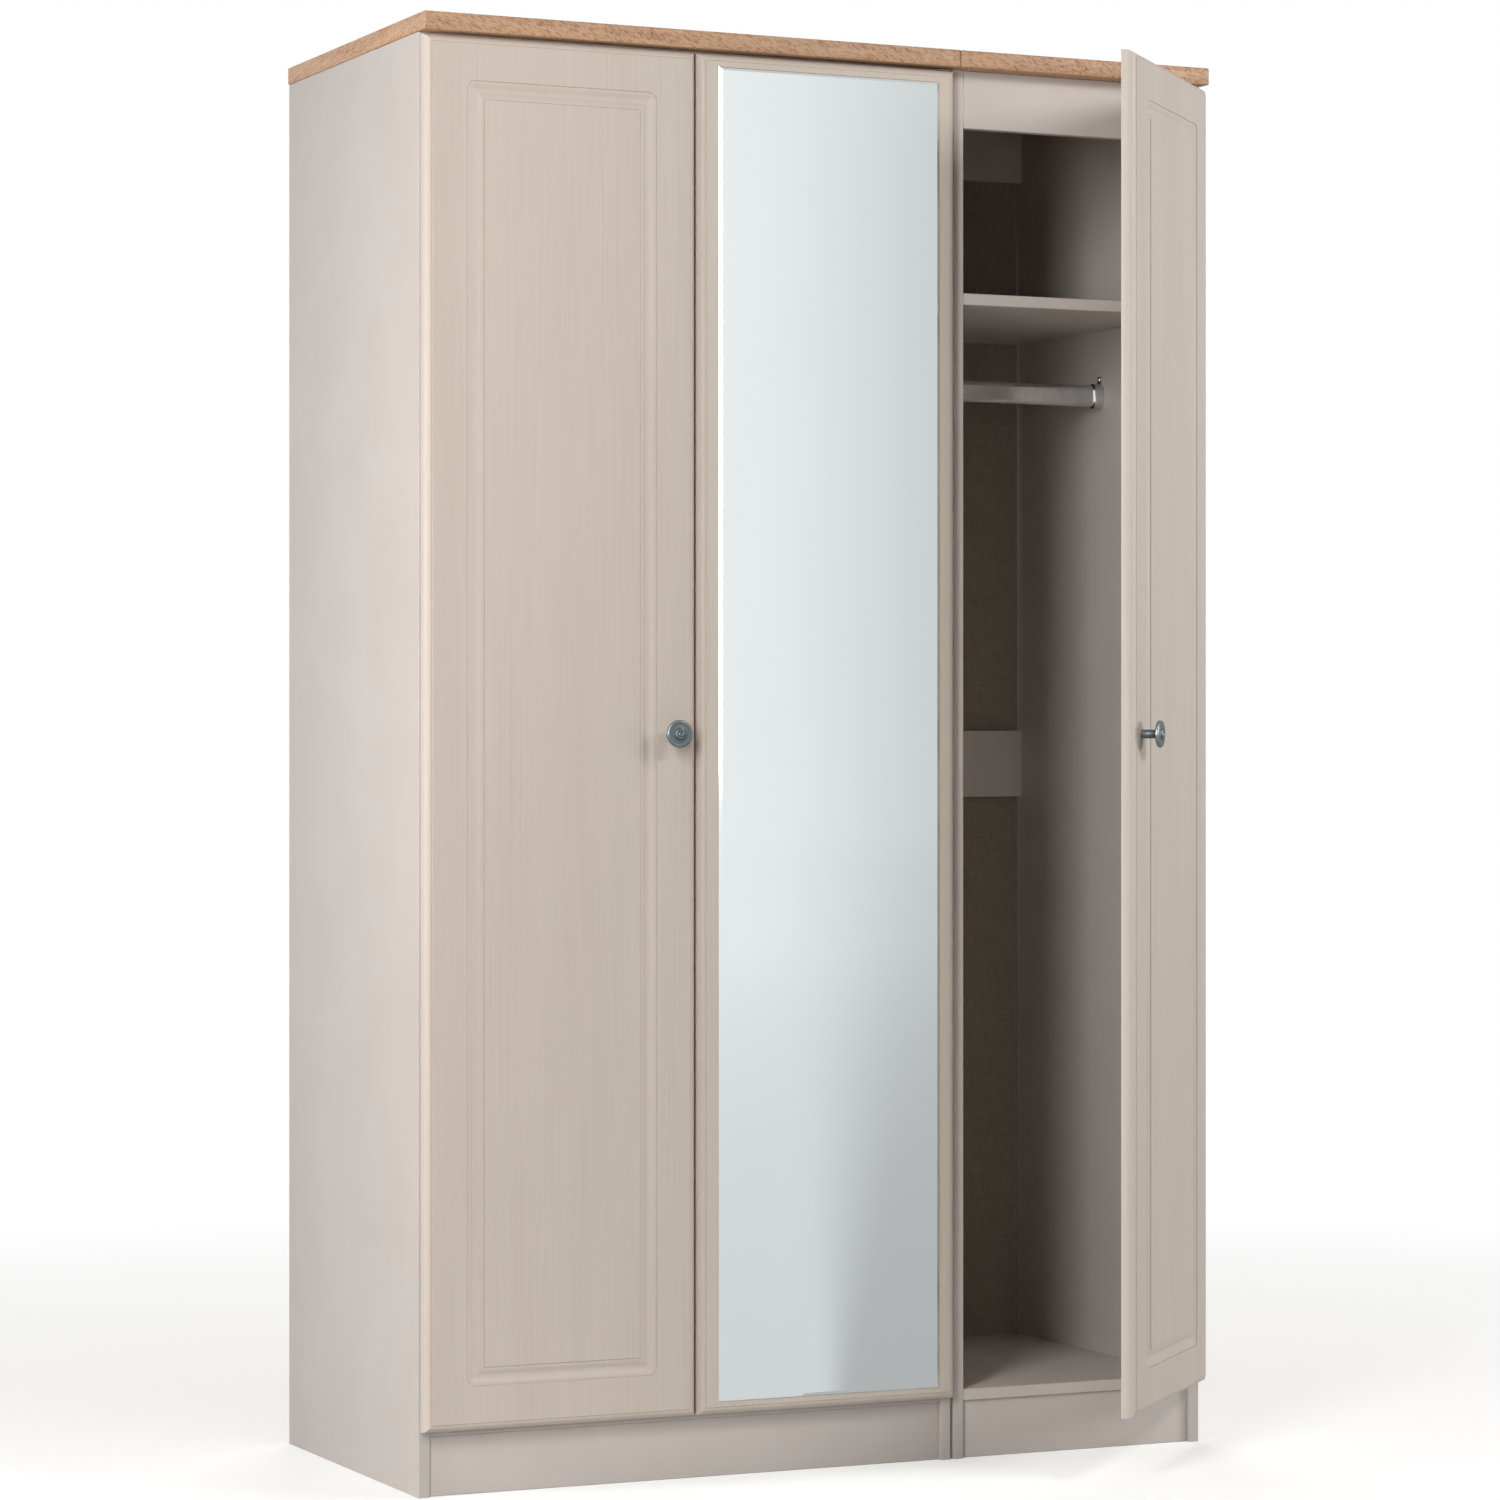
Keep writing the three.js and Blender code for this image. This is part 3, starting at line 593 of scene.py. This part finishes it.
def doorLeaf(prefix, shape, grooved, hungRight):
    closing = closingOf(prefix)
    low, high = shutBox(prefix + "_door", closing)
    rings = []
    for inset, corner, depth, paintedQuirkShade in frontProfile(shape, (high.y - low.y) / mm, grooved):
        loop = insetLoop(low, high, inset * mm, corner * mm, shape["cornerSteps"])
        rings.append([((x, low.y + depth * mm, z), paintedQuirkShade) for x, z in loop])
    name = prefix + "_door_wrapped"
    # Each ring point keeps the strength of the painted shade in the quirks as an attribute.
    door = addObject(name, meshFrom(skinRings(rings, "paintedQuirkShade"), name))
    # Blind bores for the hinge cups
    edge = high.x - shape["cupFromEdge"] * mm if hungRight else low.x + shape["cupFromEdge"] * mm
    end, depth, radius = (shape[key] * mm for key in ("cupFromEnd", "cupDepth", "cupRadius"))
    clearOut = shape["boreClearOut"] * mm
    bores = bmesh.new()
    for z in (low.z + end, (low.z + high.z) / 2, high.z - end):
        centre = Matrix.Translation((edge, high.y - depth / 2 + clearOut / 2, z))
        bmesh.ops.create_cone(
            bores, cap_ends=True, segments=shape["boreSides"], radius1=radius, radius2=radius,
            depth=depth + clearOut, matrix=centre @ Matrix.Rotation(math.pi / 2, 4, "X"))
    cutter = addObject("cupBores", meshFrom(bores, "cupBores"))
    boring = door.modifiers.new("cupBores", "BOOLEAN")
    boring.operation = "DIFFERENCE"
    boring.solver = "EXACT"
    boring.object = cutter
    makeReal(door)
    bpy.data.objects.remove(cutter)
    door.data.transform(closing.inverted())
    foil = vinylWrappedMdf("vinylWrappedMdf_" + prefix, doorFoil, closing.to_euler().z, closing.translation)
    setMaterials(door, foil)
    shadeByAngle(door.data, shape["smoothAngle"])
    finishPiece(door, prefix + "_door_leaf", "wrapped_door", prefix + "_door")


doorLeaf("left", doorShape, grooved=True, hungRight=False)
doorLeaf("mirror", doorShape, grooved=False, hungRight=True)
doorLeaf("right", doorShape, grooved=True, hungRight=True)
print("doors made")

# Mirror: plain glass with a steep polished edge, stuck to the middle door
mirrorShape = {"bevelWidth": 4, "bevelDrop": 2.8, "arris": 0.15}


def mirrorGlass(shape):
    low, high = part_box("mirror_glass")
    width, drop, arris = (shape[key] * mm for key in ("bevelWidth", "bevelDrop", "arris"))
    rings = []
    for inset, y in ((arris, high.y), (0, high.y - arris), (0, low.y + drop + arris), (arris, low.y + drop),
                     (width - arris, low.y + arris), (width + arris, low.y)):
        rings.append([((x, y, z), 0) for x, z in insetLoop(low, high, inset, 0, 1)])
    glass = addObject("mirror_glass_polished", meshFrom(skinRings(rings), "mirror_glass_polished"))
    setMaterials(glass, materials["mirror"])
    finishPiece(glass, "mirror_door_leaf", "mirror", "mirror_glass")


mirrorGlass(mirrorShape)

# Knobs: a straight stem and a thick dished head, with a spiral ridge on a raised boss
knobShape = {
    "footRadius": 6.2, "stemRadius": 5.6, "headRadius": 17.5, "headHeight": 7, "reach": 28,
    "rim": 2.7, "rimSteps": 14, "rimInset": 1.2, "dish": 0.5, "faceSteps": 26,
    "boss": 7.4, "bossRise": 1.5, "bossSteepness": 8,
    "ridge": 1.2, "ridgeWidth": 0.8, "ridgeFade": 1.5, "turns": 2.1,
    "facePolish": 0.42, "ridgePolish": 0.6, "hollowDark": 0.25, "hollowMargin": 1,
    "around": 96, "smoothAngle": 60,
}


# Half of the knob's outline as radius, height above the door and polish, from foot to middle.
def knobOutline(shape):
    foot, stem, head, rim = (shape[key] for key in ("footRadius", "stemRadius", "headRadius", "rim"))
    base = shape["reach"] - shape["headHeight"]
    rows = [(foot - 0.3, 0, 0.3), (foot, 0.3, 0.4), (foot, 1.0, 0.5), (stem, 1.5, 0.3)]
    rows += [(stem, base - 2.2, 0.4), (stem + 1.0, base - 1.1, 0.3)]
    rows += [(head * 0.55, base - 0.6, 0.4), (head * 0.75, base - 0.2, 0.5)]
    for i in range(shape["rimSteps"] + 1):
        angle = math.radians(-90 + 180 * i / shape["rimSteps"])
        polish = 0.45 + 0.4 * math.cos(angle)
        rows.append((head - rim + rim * math.cos(angle), base + rim + rim * math.sin(angle), polish))
    inner = head - rim - shape["rimInset"]
    for i in range(shape["faceSteps"]):
        radius = inner * (1 - i / shape["faceSteps"])
        rise = shape["bossRise"] / (1 + (radius / shape["boss"]) ** shape["bossSteepness"])
        rows.append((radius, base + 2 * rim - shape["dish"] + rise, shape["facePolish"]))
    return rows


# How far the spiral stands up at a place on the head, from 0 to 1.
def spiralRise(shape, radius, angle):
    if radius > shape["boss"]:
        return 0.0
    pitch = shape["boss"] / shape["turns"]
    phase = (radius / pitch - angle / (2 * math.pi)) % 1.0
    gap = min(phase, 1 - phase) * pitch
    fade = min(1, (shape["boss"] - radius) / shape["ridgeFade"])
    return math.exp(-(gap / shape["ridgeWidth"]) ** 2) * fade


def castKnob(prefix, shape):
    closing = closingOf(prefix)
    low, high = shutBox(prefix + "_knob", closing)
    middle = (low + high) / 2
    rows = knobOutline(shape)
    front = shape["reach"] - shape["headHeight"] + shape["rim"]  # the head's face starts here
    fit = shape["reach"] / (max(height for _, height, _ in rows) + shape["ridge"])
    rings = []
    for radius, height, polish in rows:
        ring = []
        for i in range(shape["around"]):
            angle = 2 * math.pi * i / shape["around"]
            rise = spiralRise(shape, radius, angle) if height > front else 0.0
            onBoss = height > front and radius < shape["boss"] + shape["hollowMargin"]
            shine = polish + shape["ridgePolish"] * rise - (shape["hollowDark"] if onBoss else 0)
            reach = (height + shape["ridge"] * rise) * fit * mm
            x, z = middle.x + radius * mm * math.cos(angle), middle.z + radius * mm * math.sin(angle)
            ring.append(((x, high.y - reach, z), shine))
        rings.append(ring)
    name = prefix + "_knob_cast"
    knob = addObject(name, meshFrom(skinRings(rings, "polish"), name))
    knob.data.transform(closing.inverted())
    setMaterials(knob, materials["pewter"])
    shadeByAngle(knob.data, shape["smoothAngle"])
    finishPiece(knob, prefix + "_door_leaf", "pewter_knob", prefix + "_knob")


castKnob("left", knobShape)
castKnob("right", knobShape)
print("mirror and knobs made")

# Metal fittings: the CAD shape with its edges eased
fittingShape = {"ease": 0.35, "thinEase": 0.2}


def dressFittings(look):
    pieces = [("carcass", "robe_bolt_%d" % (i + 1)) for i in range(4)]
    for robe in ("double", "single"):
        pieces += [("carcass", robe + "_rail_socket_" + side) for side in ("left", "right")]
    for door in ("left", "mirror", "right"):
        pieces += [("carcass", "%s_hinge_arm_%d" % (door, i + 1)) for i in range(3)]
        pieces += [(door + "_door_leaf", "%s_hinge_cup_%d" % (door, i + 1)) for i in range(3)]
    pieces += [(door + "_door_leaf", door + "_knob_screw") for door in ("left", "right")]
    for body, name in pieces:
        isThin = "cup" in name or "screw" in name
        piece = easedCopy(name, look["thinEase"] if isThin else look["ease"])
        setMaterials(piece, materials["chrome" if "socket" in name else "nickel"])
        finishPiece(piece, body, "nickel_fittings", name)


dressFittings(fittingShape)
print("fittings made")


# Geometry Nodes: a group begins with named inputs, each with its kind and its default.
def startGroup(name, inputs):
    tree = bpy.data.node_groups.new(name, "GeometryNodeTree")
    tree.interface.new_socket("Geometry", in_out="INPUT", socket_type="NodeSocketGeometry")
    for label, (kind, value) in inputs.items():
        socket = tree.interface.new_socket(label, in_out="INPUT", socket_type="NodeSocket" + kind)
        if value is not None:
            socket.default_value = value
    tree.interface.new_socket("Geometry", in_out="OUTPUT", socket_type="NodeSocketGeometry")
    return tree, addNode(tree, "NodeGroupInput")


def endGroup(tree, instances, material):
    real = addNode(tree, "GeometryNodeRealizeInstances", {0: instances})[0]
    coated = addNode(tree, "GeometryNodeSetMaterial", {"Geometry": real, "Material": material})[0]
    addNode(tree, "NodeGroupOutput", {0: coated})
    return tree


# Sets a group's inputs by identifier, evaluates the group and keeps its plain mesh.
def growFrom(thing, tree, values):
    modifier = thing.modifiers.new(tree.name, "NODES")
    modifier.node_group = tree
    for item in tree.interface.items_tree:
        if item.item_type == "SOCKET" and item.in_out == "INPUT" and item.name in values:
            modifier[item.identifier] = values[item.name]
    return makeReal(thing)


# A pan head with a cross recess on every point, standing along the point's facing.
def crossHeadScrews():
    tree, given = startGroup("crossHeadScrews", {
        "Head Radius": ("Float", 3.2 * mm), "Head Height": ("Float", 1.6 * mm),
        "Recess Width": ("Float", 0.9 * mm), "Seed": ("Int", 7), "Material": ("Material", None)})
    radius, height = given["Head Radius"], given["Head Height"]
    crownShare, spanShare = 0.68, 1.15  # of the head's radius
    crown = addNode(tree, "ShaderNodeMath", inOrder(radius, crownShare), operation="MULTIPLY")[0]
    span = addNode(tree, "ShaderNodeMath", inOrder(radius, spanShare), operation="MULTIPLY")[0]
    screw = addNode(tree, "GeometryNodeMeshCone", {
        "Vertices": 20, "Radius Top": crown, "Radius Bottom": radius, "Depth": height})["Mesh"]
    lift = addNode(tree, "ShaderNodeCombineXYZ", {"Z": height})[0]
    for x, y in ((span, given["Recess Width"]), (given["Recess Width"], span)):
        size = addNode(tree, "ShaderNodeCombineXYZ", {"X": x, "Y": y, "Z": height})[0]
        cube = addNode(tree, "GeometryNodeMeshCube", {"Size": size})["Mesh"]
        raised = addNode(tree, "GeometryNodeTransform", {"Geometry": cube, "Translation": lift})[0]
        screw = addNode(tree, "GeometryNodeMeshBoolean", inOrder(screw, raised), operation="DIFFERENCE",
                        solver="EXACT")[0]
    facing = addNode(tree, "GeometryNodeInputNamedAttribute", {"Name": "facing"}, data_type="FLOAT_VECTOR")[0]
    aim = addNode(tree, "FunctionNodeAlignRotationToVector", {"Vector": facing}, axis="Z")[0]
    spin = addNode(tree, "FunctionNodeRandomValue", {2: 0.0, 3: math.pi, "Seed": given["Seed"]},
                   data_type="FLOAT")[1]
    turn = addNode(tree, "FunctionNodeAxisAngleToRotation", {"Axis": (0, 0, 1), "Angle": spin})[0]
    pose = addNode(tree, "FunctionNodeRotateRotation", inOrder(aim, turn), rotation_space="LOCAL")[0]
    placed = addNode(tree, "GeometryNodeInstanceOnPoints", {
        "Points": given["Geometry"], "Instance": screw, "Rotation": pose})[0]
    return endGroup(tree, placed, given["Material"])


screwSizes = {
    "plate": 3.4, "cup": 3.0, "arm": 2.6, "socket": 3.0,  # head radius at each place
    "headHeight": 1.4, "plateThickness": 3, "plateFromHeel": 15, "plateSpread": 17, "armSpread": 9,
    "cupSpread": 23.5, "socketFlange": 2.5, "earDrop": 5, "sink": 0.1,
}


# Where each screw sits and which way it faces, sorted by body and place.
def screwPlaces(size):
    places = {}
    sink = size["sink"] * mm
    for door, side in (("left", 1), ("mirror", -1), ("right", -1)):
        leaf = door + "_door_leaf"
        closing = closingOf(door)
        opening = closing.inverted()
        plates, arms = places.setdefault(("carcass", "plate"), []), places.setdefault(("carcass", "arm"), [])
        cups = places.setdefault((leaf, "cup"), [])
        for n in (1, 2, 3):
            low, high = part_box("%s_hinge_arm_%d" % (door, n))
            panel, face = (low.x, high.x) if side > 0 else (high.x, low.x)
            y, z = high.y - size["plateFromHeel"] * mm, (low.z + high.z) / 2
            plateFace = panel + side * size["plateThickness"] * mm
            low, high = shutBox("%s_hinge_cup_%d" % (door, n), closing)
            for way in (-1, 1):
                plateZ = z + way * size["plateSpread"] * mm
                plates.append(((plateFace - side * sink, y, plateZ), (side, 0, 0)))
                arms.append(((face - side * sink, y + way * size["armSpread"] * mm, z), (side, 0, 0)))
                spot = (low + high) / 2 + Vector((0, 0, way * size["cupSpread"] * mm))
                spot.y = high.y - sink
                cups.append((opening @ spot, opening.to_3x3() @ Vector((0, 1, 0))))
    ears = places.setdefault(("carcass", "socket"), [])
    for robe in ("double", "single"):
        for name, side in (("left", 1), ("right", -1)):
            low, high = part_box(robe + "_rail_socket_" + name)
            wall = low.x if side > 0 else high.x
            x = wall + side * (size["socketFlange"] * mm - sink)
            ears.append(((x, (low.y + high.y) / 2, high.z - size["earDrop"] * mm), (side, 0, 0)))
    return places


def driveScrews(size):
    tree = crossHeadScrews()
    for seed, ((body, kind), spots) in enumerate(screwPlaces(size).items()):
        name = "%s_%s_screws" % (body.replace("_door_leaf", ""), kind)
        mesh = bpy.data.meshes.new(name)
        mesh.from_pydata([spot for spot, _ in spots], [], [])
        mesh.attributes.new("facing", "FLOAT_VECTOR", "POINT")
        for i, (_, direction) in enumerate(spots):
            mesh.attributes["facing"].data[i].vector = direction
        screws = growFrom(addObject(name, mesh), tree, {
            "Head Radius": size[kind] * mm, "Head Height": size["headHeight"] * mm, "Seed": seed,
            "Material": materials["nickel"]})
        finishPiece(screws, body, "nickel_fittings")
        print(name, len(spots), "screws,", len(screws.data.polygons), "faces")


driveScrews(screwSizes)


# Panel pins: flat heads at even spacing round a rectangle that faces the wall.
def panelPins():
    tree, given = startGroup("panelPins", {
        "Width": ("Float", 0.7), "Height": ("Float", 1.7), "Count": ("Int", 40),
        "Centre": ("Vector", (0, 0, 0)), "Head Radius": ("Float", 1.6 * mm),
        "Head Height": ("Float", 0.5 * mm), "Material": ("Material", None)})
    border = addNode(tree, "GeometryNodeCurvePrimitiveQuadrilateral", {
        "Width": given["Width"], "Height": given["Height"]}, mode="RECTANGLE")[0]
    spaced = addNode(tree, "GeometryNodeResampleCurve", {"Curve": border, "Count": given["Count"]},
                     mode="COUNT")[0]
    radius, crownShare = given["Head Radius"], 0.7
    crown = addNode(tree, "ShaderNodeMath", inOrder(radius, crownShare), operation="MULTIPLY")[0]
    head = addNode(tree, "GeometryNodeMeshCone", {
        "Vertices": 12, "Radius Top": crown, "Radius Bottom": radius, "Depth": given["Head Height"]})["Mesh"]
    placed = addNode(tree, "GeometryNodeInstanceOnPoints", {"Points": spaced, "Instance": head})[0]
    stood = addNode(tree, "GeometryNodeTransform", {
        "Geometry": placed, "Translation": given["Centre"], "Rotation": (-math.pi / 2, 0, 0)})[0]
    return endGroup(tree, stood, given["Material"])


pinSizes = {"fromEdge": 8, "spacing": 110, "headRadius": 1.7, "sink": 0.1}


def pinBacks(size):
    tree = panelPins()
    for robe in ("double", "single"):
        low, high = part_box(robe + "_back_panel")
        inset = size["fromEdge"] * mm
        width, height = high.x - low.x - 2 * inset, high.z - low.z - 2 * inset
        pins = addObject(robe + "_back_pins", bpy.data.meshes.new(robe + "_back_pins"))
        growFrom(pins, tree, {
            "Width": width, "Height": height, "Count": round(2 * (width + height) / (size["spacing"] * mm)),
            "Centre": ((low.x + high.x) / 2, high.y - size["sink"] * mm, (low.z + high.z) / 2),
            "Head Radius": size["headRadius"] * mm, "Material": materials["nickel"]})
        finishPiece(pins, "carcass", "nickel_fittings")


pinBacks(pinSizes)
print("screws and pins driven")

# Studio: pale floor, white surround and large soft lights. Each light has degrees to the right of
# straight on, degrees up, width and height in metres, and watts.
studio = {
    "aim": (0.0, 0.1, 0.95),
    "distance": 3.4,
    "lights": {
        "leftStrip": (-42, 17, 0.7, 2.2, 64),
        "sideBox": (-90, 5, 0.8, 0.8, 52),
        "rightHigh": (40, 30, 1.4, 0.7, 35),
        "rightLow": (65, 5, 0.8, 0.8, 33),
        "frontFill": (-25, 5, 0.5, 0.5, 5),
        "backHigh": (160, 40, 1.6, 1.0, 45),
    },
    "lightTint": (1.0, 0.985, 0.965),
    "surround": 1.0,  # what the camera and the mirror see
    "ambient": 0.02,  # what fills the shadows
    "paintedReflectionShadeSpan": (24.5, 28.0, 0.68),  # painted shade in the mirror's view to the front right: degrees right where it starts and is full, and its tone
    "floorRadius": 40,
    "floorSides": 128,
    "floorLayers": {"mottle": ((8, 8, 8), 2)},
    "floorNear": ("#DADAD9", "#DFDFDE"),
    "floorFade": (0.4, 3.2, 0.4, 1.0),  # metres where the fade to white starts and ends, and its glow there
    "mirrorFade": (0.0, 16.0, 0.76, 0.97),  # the same for the floor as the mirror shows it
}


# Painted shade in what the mirror reflects: darker to the front right, by the way X and Y point from the
# mirror.
def paintedReflectionShade(tree, x, y, look):
    ahead = addNode(tree, "ShaderNodeMath", inOrder(y, -1.0), operation="MULTIPLY")[0]
    turn = addNode(tree, "ShaderNodeMath", inOrder(x, ahead), operation="ARCTAN2")[0]
    start, full, tone = look["paintedReflectionShadeSpan"]
    fade = inOrder(turn, math.radians(start), math.radians(full), 1.0, tone)
    return addNode(tree, "ShaderNodeMapRange", fade, interpolation_type="SMOOTHSTEP")[0]


def makeSurround(look):
    world = bpy.data.worlds.new("studioSurround")
    scene.world = world
    world.use_nodes = True
    tree = world.node_tree
    tree.nodes.clear()
    path = addNode(tree, "ShaderNodeLightPath")
    sight = addNode(tree, "ShaderNodeSeparateXYZ", {0: addNode(tree, "ShaderNodeTexCoord")["Generated"]})
    # Glossy rays see the surround with painted shade to the front right; other rays see only the faint
    # ambient.
    mirrored = addNode(tree, "ShaderNodeMix", {
        0: path["Is Glossy Ray"], 2: look["ambient"], 3: paintedReflectionShade(tree, sight["X"], sight["Y"], look)},
        data_type="FLOAT")[0]
    strength = addNode(tree, "ShaderNodeMix", {
        0: path["Is Camera Ray"], 2: mirrored, 3: look["surround"]}, data_type="FLOAT")[0]
    surround = addNode(tree, "ShaderNodeBackground", {"Color": (1, 1, 1, 1), "Strength": strength})[0]
    addNode(tree, "ShaderNodeOutputWorld", {"Surface": surround})


# The floor is pale near the object and fades into the white surround with distance.
def makeFloor(look):
    build = bmesh.new()
    bmesh.ops.create_circle(build, cap_ends=True, segments=look["floorSides"], radius=look["floorRadius"])
    floor = addObject("studioFloor", meshFrom(build, "studioFloor"))
    material, tree, place, noise = startMaterial("paleStudioFloor", look["floorLayers"])
    away = addNode(tree, "ShaderNodeVectorMath", {0: place}, operation="LENGTH")["Value"]
    path = addNode(tree, "ShaderNodeLightPath")
    start, end = look["floorFade"][:2]
    fade = addNode(tree, "ShaderNodeMapRange", inOrder(away, start, end))[0]
    glow = {}
    for name in ("floorFade", "mirrorFade"):
        glow[name] = addNode(tree, "ShaderNodeMapRange", inOrder(away, *look[name]))[0]
    seen = addNode(tree, "ShaderNodeMath", inOrder(path["Is Camera Ray"], glow["floorFade"]),
                   operation="MULTIPLY")[0]
    # The floor as the mirror shows it carries the same painted shade to the front right.
    low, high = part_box("mirror_glass")
    fromMirror = addNode(tree, "ShaderNodeVectorMath", inOrder(place, (low + high) / 2),
                         operation="SUBTRACT")[0]
    point = addNode(tree, "ShaderNodeSeparateXYZ", {0: fromMirror})
    tone = paintedReflectionShade(tree, point["X"], point["Y"], look)
    mirrored = addNode(tree, "ShaderNodeMath", inOrder(glow["mirrorFade"], tone), operation="MULTIPLY")[0]
    bright = addNode(tree, "ShaderNodeMath", inOrder(path["Is Glossy Ray"], mirrored, seen),
                     operation="MULTIPLY_ADD")[0]
    dull = addNode(tree, "ShaderNodeMath", inOrder(fade, path["Is Glossy Ray"]), operation="MAXIMUM")[0]
    near = addNode(tree, "ShaderNodeMix", {
        0: noise["mottle"], 6: linear(look["floorNear"][0]), 7: linear(look["floorNear"][1])},
        data_type="RGBA")[2]
    finishMaterial(tree, {
        "Base Color": addNode(tree, "ShaderNodeMix", {
            0: dull, 6: near, 7: (0, 0, 0, 1)}, data_type="RGBA")[2],
        "Emission Color": (1, 1, 1, 1),
        "Emission Strength": bright,
        "Specular IOR Level": 0.0,
        "Roughness": 0.9,
    })
    setMaterials(floor, material)


def makeLights(look):
    aim = Vector(look["aim"])
    for name, (turn, rise, wide, high, watts) in look["lights"].items():
        turn, rise = math.radians(turn), math.radians(rise)
        away = Vector((math.sin(turn) * math.cos(rise), -math.cos(turn) * math.cos(rise), math.sin(rise)))
        data = bpy.data.lights.new(name, "AREA")
        data.shape = "RECTANGLE"
        data.size, data.size_y = wide, high
        data.energy = watts
        data.color = look["lightTint"]
        light = bpy.data.objects.new(name, data)
        scene.collection.objects.link(light)
        light.location = aim + look["distance"] * away
        light.rotation_euler = (-away).to_track_quat("-Z", "Y").to_euler()


makeSurround(studio)
makeFloor(studio)
makeLights(studio)
scene.view_settings.view_transform = "Standard"
scene.view_settings.look = "None"
print("studio made")
